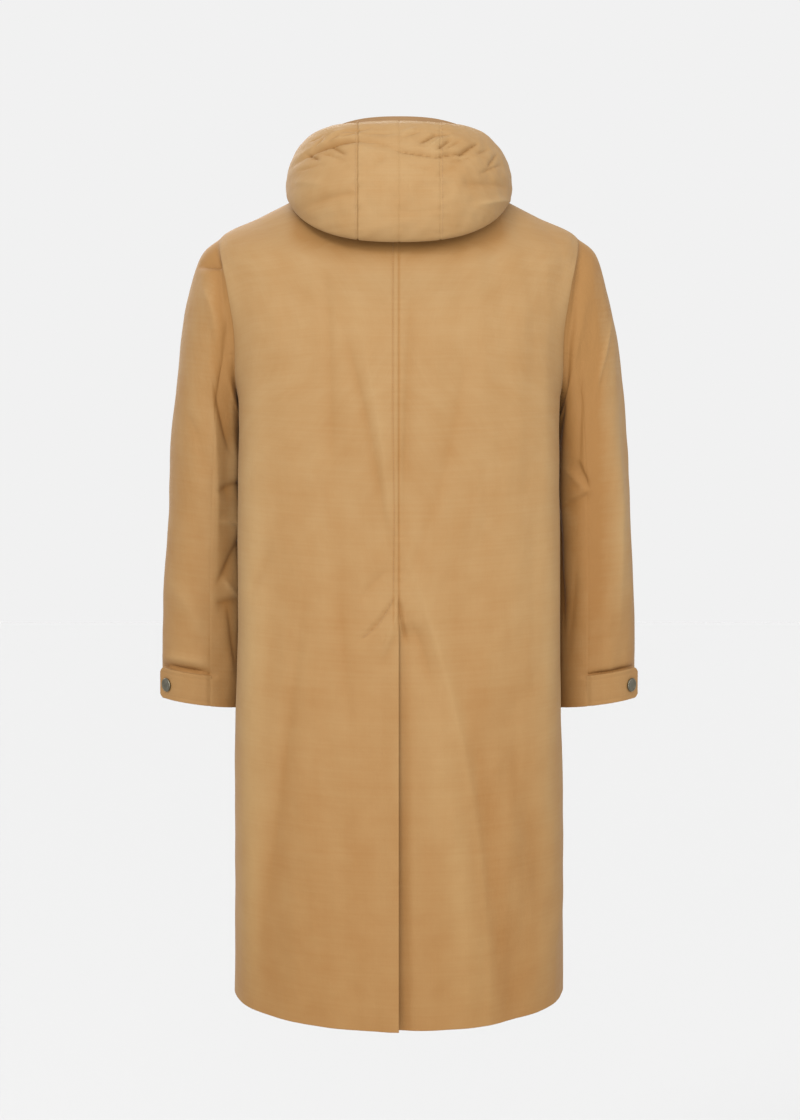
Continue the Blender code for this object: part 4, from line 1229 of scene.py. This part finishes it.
def sleeve_piece(name, side, first, last, step):
    """One piece of a two-piece sleeve between two seams."""
    columns = shares((last - first) * SLEEVE_RADIUS, step, SEAM_SAMPLES[:5], SEAM_SAMPLES[:5])
    rows = CUFF_ROW * shares(SLEEVE_LENGTH, step, SEAM_SAMPLES[:5], EDGE_SAMPLES)
    turn = first + (last - first) * np.broadcast_to(columns, (len(rows), len(columns)))
    row = np.broadcast_to(rows[:, None], turn.shape)
    cloth = Cloth(sleeve_point, row, turn, side, -1)
    behind = ease(np.sin(turn) / SLEEVE_FACE_FADE)
    ahead = ease(-np.sin(turn) / SLEEVE_FACE_FADE)
    calm = ease(cloth.bottom / SLEEVE_CUFF_CALM)
    free = calm * ease(cloth.top / SLEEVE_FOLD_START)
    cloth.crease(fold_height(cloth.base, SLEEVE_BACK_FOLDS) * behind * free)
    cloth.crease(fold_height(cloth.base, SLEEVE_FRONT_FOLDS) * ahead * free)
    # The sleeves' painted fold shading, stronger than on the body
    cloth.painted_shading *= SLEEVE_FOLD_SHADING
    settled = calm * ease(cloth.top / SLEEVE_HEAD_CALM)
    cloth.lift += unrest(cloth.base, SLEEVE_SEEDS[0], *SLEEVE_WAVES) * settled
    cloth.lift += unrest(cloth.base, SLEEVE_SEEDS[1], *SLEEVE_RIPPLES) * settled
    cloth.lift += seam_dip(cloth.first, SLEEVE_SEAM_DIP) + seam_dip(cloth.last, SLEEVE_SEAM_DIP)
    # Painted shade on the back of the sleeve: darker all over, more towards the body and at the sleeve head
    shade_by_body = ease((ARM_SHADE_END - np.abs(cloth.base[..., 0])) / ARM_SHADE_WIDTH)
    shade_at_head = ease((cloth.base[..., 2] - HEAD_SHADE_END) / HEAD_SHADE_LENGTH)
    cloth.painted_shading -= behind * (SLEEVE_PAINTED_SHADE + shade_by_body * (ARM_SHADE[side] + HEAD_SHADE * shade_at_head))
    tucked = ease(np.abs(np.sin(turn)) / SLEEVE_TUCK_FADE) * ease(cloth.top / SLEEVE_TUCK_START)
    cloth.lift -= SLEEVE_TUCK * tucked * soft_line(cloth.top, SLEEVE_TUCK_WIDTH)
    cloth.lift += rolled_edge(cloth.bottom)
    cloth.thick += hem_fold(cloth, CUFF_HEM_DEPTH)
    if name == "sleeve_under":
        beside_tab = ease((row - TAB_ROWS[0]) / TAB_ROOT_ROWS)
        cloth.lift += TAB_ROOT_RISE * beside_tab * soft_line(cloth.first, TAB_ROOT_WIDTH)
    add_cloth(name, side, cloth, SHELL)


# Hood


def rim_drop(cloth):
    """How the rim sags in the centre back, so that its facing shows above it."""
    middle = ease((RIM_DROP_END - np.abs(cloth.base[..., 0])) / RIM_DROP_FADE)
    behind = ease(cloth.base[..., 1] / BEHIND_NECK) * middle
    return RIM_DROP * behind * ease((cloth.row - RIM_DROP_ROW) / RIM_DROP_ROWS)


def past_fold(cloth):
    """0 on the hood's under layer and 1 on the layer that lies over the fold."""
    return ease((cloth.row - PAST_FOLD_ROW) / PAST_FOLD_ROWS)


def hood_lift(cloth):
    """Creases of the folded hood, on its outer layer behind the neck only."""
    shown = past_fold(cloth) * ease(cloth.base[..., 1] / HOOD_CREASE_Y)
    cloth.crease(fold_height(cloth.base, HOOD_FOLDS) * shown)
    cloth.lift -= rim_drop(cloth)
    cloth.lift += unrest(cloth.base, HOOD_SEEDS[0], *HOOD_WAVES) * shown * ease(cloth.bottom / HOOD_RIM_CALM)
    cloth.lift += unrest(cloth.base, HOOD_SEEDS[1], *HOOD_RIPPLES) * shown
    cloth.lift += rolled_edge(cloth.bottom)
    cloth.lift += stitch_dip(cloth.bottom, RIM_STITCH)
    cloth.lift += seam_dip(cloth.top)


def hood_piece(name, side):
    """The centre or the side panel of one half of the hood."""
    under = shares(HOOD_UNDER_LENGTH, HOOD_HIDDEN_STEP, SEAM_SAMPLES[:4])
    over = shares(HOOD_OVER_LENGTH, HOOD_STEP, (), EDGE_SAMPLES + RIM_SAMPLES)
    rows = np.concatenate([HOOD_FOLD_ROW * under, HOOD_FOLD_ROW + (RIM_ROW - HOOD_FOLD_ROW) * over[1:]])
    centre = angle_at_x(HOOD, rows, 0.0, 1)
    seam = angle_at_x(HOOD, rows, HOOD_SEAM_X, 1)
    front = angle_at_x(HOOD, rows, 0.0, -1)
    if name == "hood_centre":
        angle = between(seam, centre, shares(HOOD_SEAM_X, HOOD_STEP, SEAM_SAMPLES[:6], SEAM_SAMPLES[:5]))
    else:
        middle = np.zeros_like(rows)
        ahead = between(front, middle, shares(HOOD_FRONT_LENGTH, HOOD_HIDDEN_STEP, SEAM_SAMPLES[:5]))
        behind = between(middle, seam, shares(HOOD_BACK_LENGTH, HOOD_STEP, (), SEAM_SAMPLES[:6]))
        angle = np.concatenate([ahead, behind[:, 1:]], axis=1)
    row = np.broadcast_to(rows[:, None], angle.shape)
    cloth = Cloth(hood_point, row, angle, side, 1)
    hood_lift(cloth)
    over_fold = past_fold(cloth)
    joined = cloth.first if name == "hood_centre" else cloth.last
    cloth.lift += seam_dip(joined, HOOD_SEAM_DIP[side], HOOD_SEAM_SOFT)
    cloth.lift += gathers(cloth.top, joined, *HOOD_GATHERS) * over_fold
    if name == "hood_centre":
        cloth.lift += seam_dip(cloth.last, HOOD_CENTRE_DIP, HOOD_SEAM_SOFT)
        cloth.lift += gathers(cloth.top, cloth.last, *HOOD_CENTRE_GATHERS) * over_fold
    add_cloth(name, side, cloth, SHELL)
    if name == "hood_side":
        outer = cloth.outer(THREAD_RIDE)
        rim_line = line_across(outer.swapaxes(0, 1), cloth.bottom.T, RIM_STITCH)
        seam_line = line_across(outer, cloth.last, HOOD_SEAM_STITCH)[rows > HOOD_STITCH_START_ROW]
        sew(f"stitching_hood_{side}", [rim_line[3:-1], seam_line[:-3]], STITCH_SEEDS["hood"])


def facing_piece(side):
    """The band that faces the inside of the hood's rim and shows just above it."""
    width, height = FACING_SIZE
    low, end, top = FACING_ROWS
    up = shares(height, FACING_STEP, (), EDGE_SAMPLES)
    across = math.pi * (shares(width, FACING_STEP, EDGE_SAMPLES, EDGE_SAMPLES) - 0.5)
    rim = hood_point(np.full_like(across, RIM_ROW), across)
    behind = ease(rim[:, 1] / BEHIND_NECK) * ease((FACING_SHOW_END - rim[:, 0]) / FACING_SHOW_FADE)
    row = low + (end + (top - end) * behind - low) * up[:, None]
    angle = np.broadcast_to(across, row.shape)
    cloth = Cloth(hood_point, row, angle, side, 1)
    cloth.lift -= CLOTH + FACING_CLEAR
    cloth.lift += FACING_SHOW * ease((row - RIM_ROW) / (top - RIM_ROW)) - rim_drop(cloth)
    add_cloth("hood_facing", side, cloth, FACING)


# Cuff tabs and snaps


def tab_piece(side):
    """The cuff tab with cut corners and a stitched edge, sewn into the hindarm seam."""
    bend = TAB_START - TAB_BEND_END
    length = shares(TAB_LENGTH, TAB_STEP, (), EDGE_SAMPLES)
    past_bend = bend + TAB_FREE_LENGTH * (length - TAB_BEND_SHARE) / (1.0 - TAB_BEND_SHARE)
    travel = np.where(length < TAB_BEND_SHARE, bend * length / TAB_BEND_SHARE, past_bend)
    over = shares(TAB_WIDTH, TAB_STEP, EDGE_SAMPLES, EDGE_SAMPLES) * 2.0 - 1.0
    corner = np.clip((travel - bend - TAB_FREE_LENGTH + TAB_CORNER) / TAB_CORNER, 0.0, 1.0)
    half = (TAB_ROWS[1] - TAB_ROWS[0]) / 2
    row = sum(TAB_ROWS) / 2 + half * over[:, None] * (1.0 - TAB_CORNER_CUT * corner**2)
    travel = np.broadcast_to(travel, row.shape)
    cloth = Cloth(tab_point, row, travel, side, 1)
    sewn_in = ease(1.0 - cloth.first / TAB_SEWN_LENGTH)
    cloth.lift += (TAB_CLEAR + TAB_WALL) * (1.0 - TAB_SEWN_DROP * sewn_in)
    cloth.thick[:] = TAB_WALL * (1.0 - TAB_SEWN_THIN * sewn_in)
    edge = np.minimum(np.minimum(cloth.top, cloth.bottom), cloth.last)
    cloth.lift += rolled_edge(edge) + stitch_dip(edge, TAB_STITCH)
    # Painted shade: the tab darkened like the back of the sleeve
    cloth.painted_shading -= SLEEVE_PAINTED_SHADE
    add_cloth("cuff_tab", side, cloth, SHELL)


def snap_piece(side):
    """A round snap cap with a raised rim, turned on the tab's own normal."""
    row = np.array([[sum(TAB_ROWS) / 2]])
    travel = np.array([[TAB_START - TAB_BEND_END + SNAP_PAST_BEND]])
    up = Vector(outward(tab_point, row, travel, 1)[0, 0])
    foot = Vector(tab_point(row, travel)[0, 0]) + up * (TAB_CLEAR + TAB_WALL)
    if side == "right":
        up.x = -up.x
        foot.x = -foot.x
    place = Matrix.Translation(foot) @ up.to_track_quat("Z", "Y").to_matrix().to_4x4()
    profile = np.array(SNAP_PROFILE)
    radius, height = profile[1:-1].T
    turn = np.linspace(0.0, 2.0 * math.pi, SNAP_SIDES, endpoint=False)
    x = np.outer(radius, np.cos(turn))
    y = np.outer(radius, np.sin(turn))
    z = np.outer(height, np.ones(SNAP_SIDES))
    points = np.stack([x, y, z], axis=-1).reshape(-1, 3)
    points = np.concatenate([points, [[0, 0, profile[0, 1]], [0, 0, profile[-1, 1]]]])
    top = len(points) - 2
    base = len(points) - 1
    last = (len(radius) - 1) * SNAP_SIDES
    faces = []
    for here in range(0, last, SNAP_SIDES):
        below = here + SNAP_SIDES
        for k in range(SNAP_SIDES):
            beside = (k + 1) % SNAP_SIDES
            faces.append((here + k, below + k, below + beside, here + beside))
    for k in range(SNAP_SIDES):
        beside = (k + 1) % SNAP_SIDES
        faces.append((top, k, beside))
        faces.append((base, last + beside, last + k))
    mesh = bpy.data.meshes.new(f"snap_cap_{side}")
    mesh.from_pydata(points.tolist(), [], faces)
    mesh.transform(place)
    mesh.shade_smooth()
    mesh.set_sharp_from_angle(angle=SHARP_ANGLE)
    add_piece(f"snap_cap_{side}", mesh, GUNMETAL, (f"cuff_snap_{side}",))


# Stage, light and camera


def add_stage():
    """A pale floor under an even pale surround."""
    half = FLOOR_SIZE / 2
    mesh = bpy.data.meshes.new("floor")
    corners = [(-half, -half, FLOOR_Z), (half, -half, FLOOR_Z), (half, half, FLOOR_Z), (-half, half, FLOOR_Z)]
    mesh.from_pydata(corners, [], [(0, 1, 2, 3)])
    material, shader, _, _ = new_finish("pale floor")
    shader.inputs["Base Color"].default_value = (FLOOR_SHADE, FLOOR_SHADE, FLOOR_SHADE, 1.0)
    shader.inputs["Roughness"].default_value = FLOOR_ROUGHNESS
    shader.inputs["Specular IOR Level"].default_value = 0.0
    mesh.materials.append(material)
    floor = bpy.data.objects.new("floor", mesh)
    bpy.context.scene.collection.objects.link(floor)
    world = bpy.data.worlds.new("pale studio")
    world.use_nodes = True
    world.node_tree.nodes["Background"].inputs["Color"].default_value = (PALE, PALE, PALE, 1.0)
    bpy.context.scene.world = world
    bpy.context.scene.view_settings.view_transform = "Standard"


def add_turned(name, data, turn):
    """A light or camera in the scene, turned by a quaternion."""
    holder = bpy.data.objects.new(name, data)
    holder.rotation_mode = "QUATERNION"
    holder.rotation_quaternion = turn
    bpy.context.scene.collection.objects.link(holder)
    return holder


def add_sun(name, toward, strength, spread_degrees):
    """A soft far light that shines from a direction."""
    light = bpy.data.lights.new(name, "SUN")
    light.energy = strength
    light.angle = math.radians(spread_degrees)
    add_turned(name, light, Vector(toward).to_track_quat("Z", "Y"))


def add_softbox(name, place, aim, width, power):
    """A square soft light near the coat, turned towards a point."""
    light = bpy.data.lights.new(name, "AREA")
    light.energy = power
    light.size = width
    lamp = add_turned(name, light, (Vector(aim) - Vector(place)).to_track_quat("-Z", "Y"))
    lamp.location = place


def add_camera():
    """The camera, level with the waist and a little tipped down, behind the coat."""
    data = bpy.data.cameras.new("camera")
    aim = CAMERA_AIM - CAMERA_PLACE
    data.sensor_fit = "VERTICAL"
    data.sensor_height = SENSOR
    data.lens = SENSOR * aim.length / VIEW_HEIGHT
    camera = add_turned("camera", data, aim.to_track_quat("-Z", "Y"))
    camera.location = CAMERA_PLACE
    bpy.context.scene.camera = camera


add_camera()
add_stage()
for name, sun in SUNS.items():
    add_sun(name, *sun)
for name, softbox in SOFTBOXES.items():
    add_softbox(name, *softbox)
for side in ("left", "right"):
    back_piece(side)
    front_piece(side)
    sleeve_piece("sleeve_upper", side, FOREARM_SEAM, HINDARM_SEAM, SLEEVE_STEP)
    sleeve_piece("sleeve_under", side, HINDARM_SEAM, FOREARM_SEAM + 2.0 * math.pi, UNDER_STEP)
    hood_piece("hood_centre", side)
    hood_piece("hood_side", side)
    facing_piece(side)
    tab_piece(side)
    snap_piece(side)
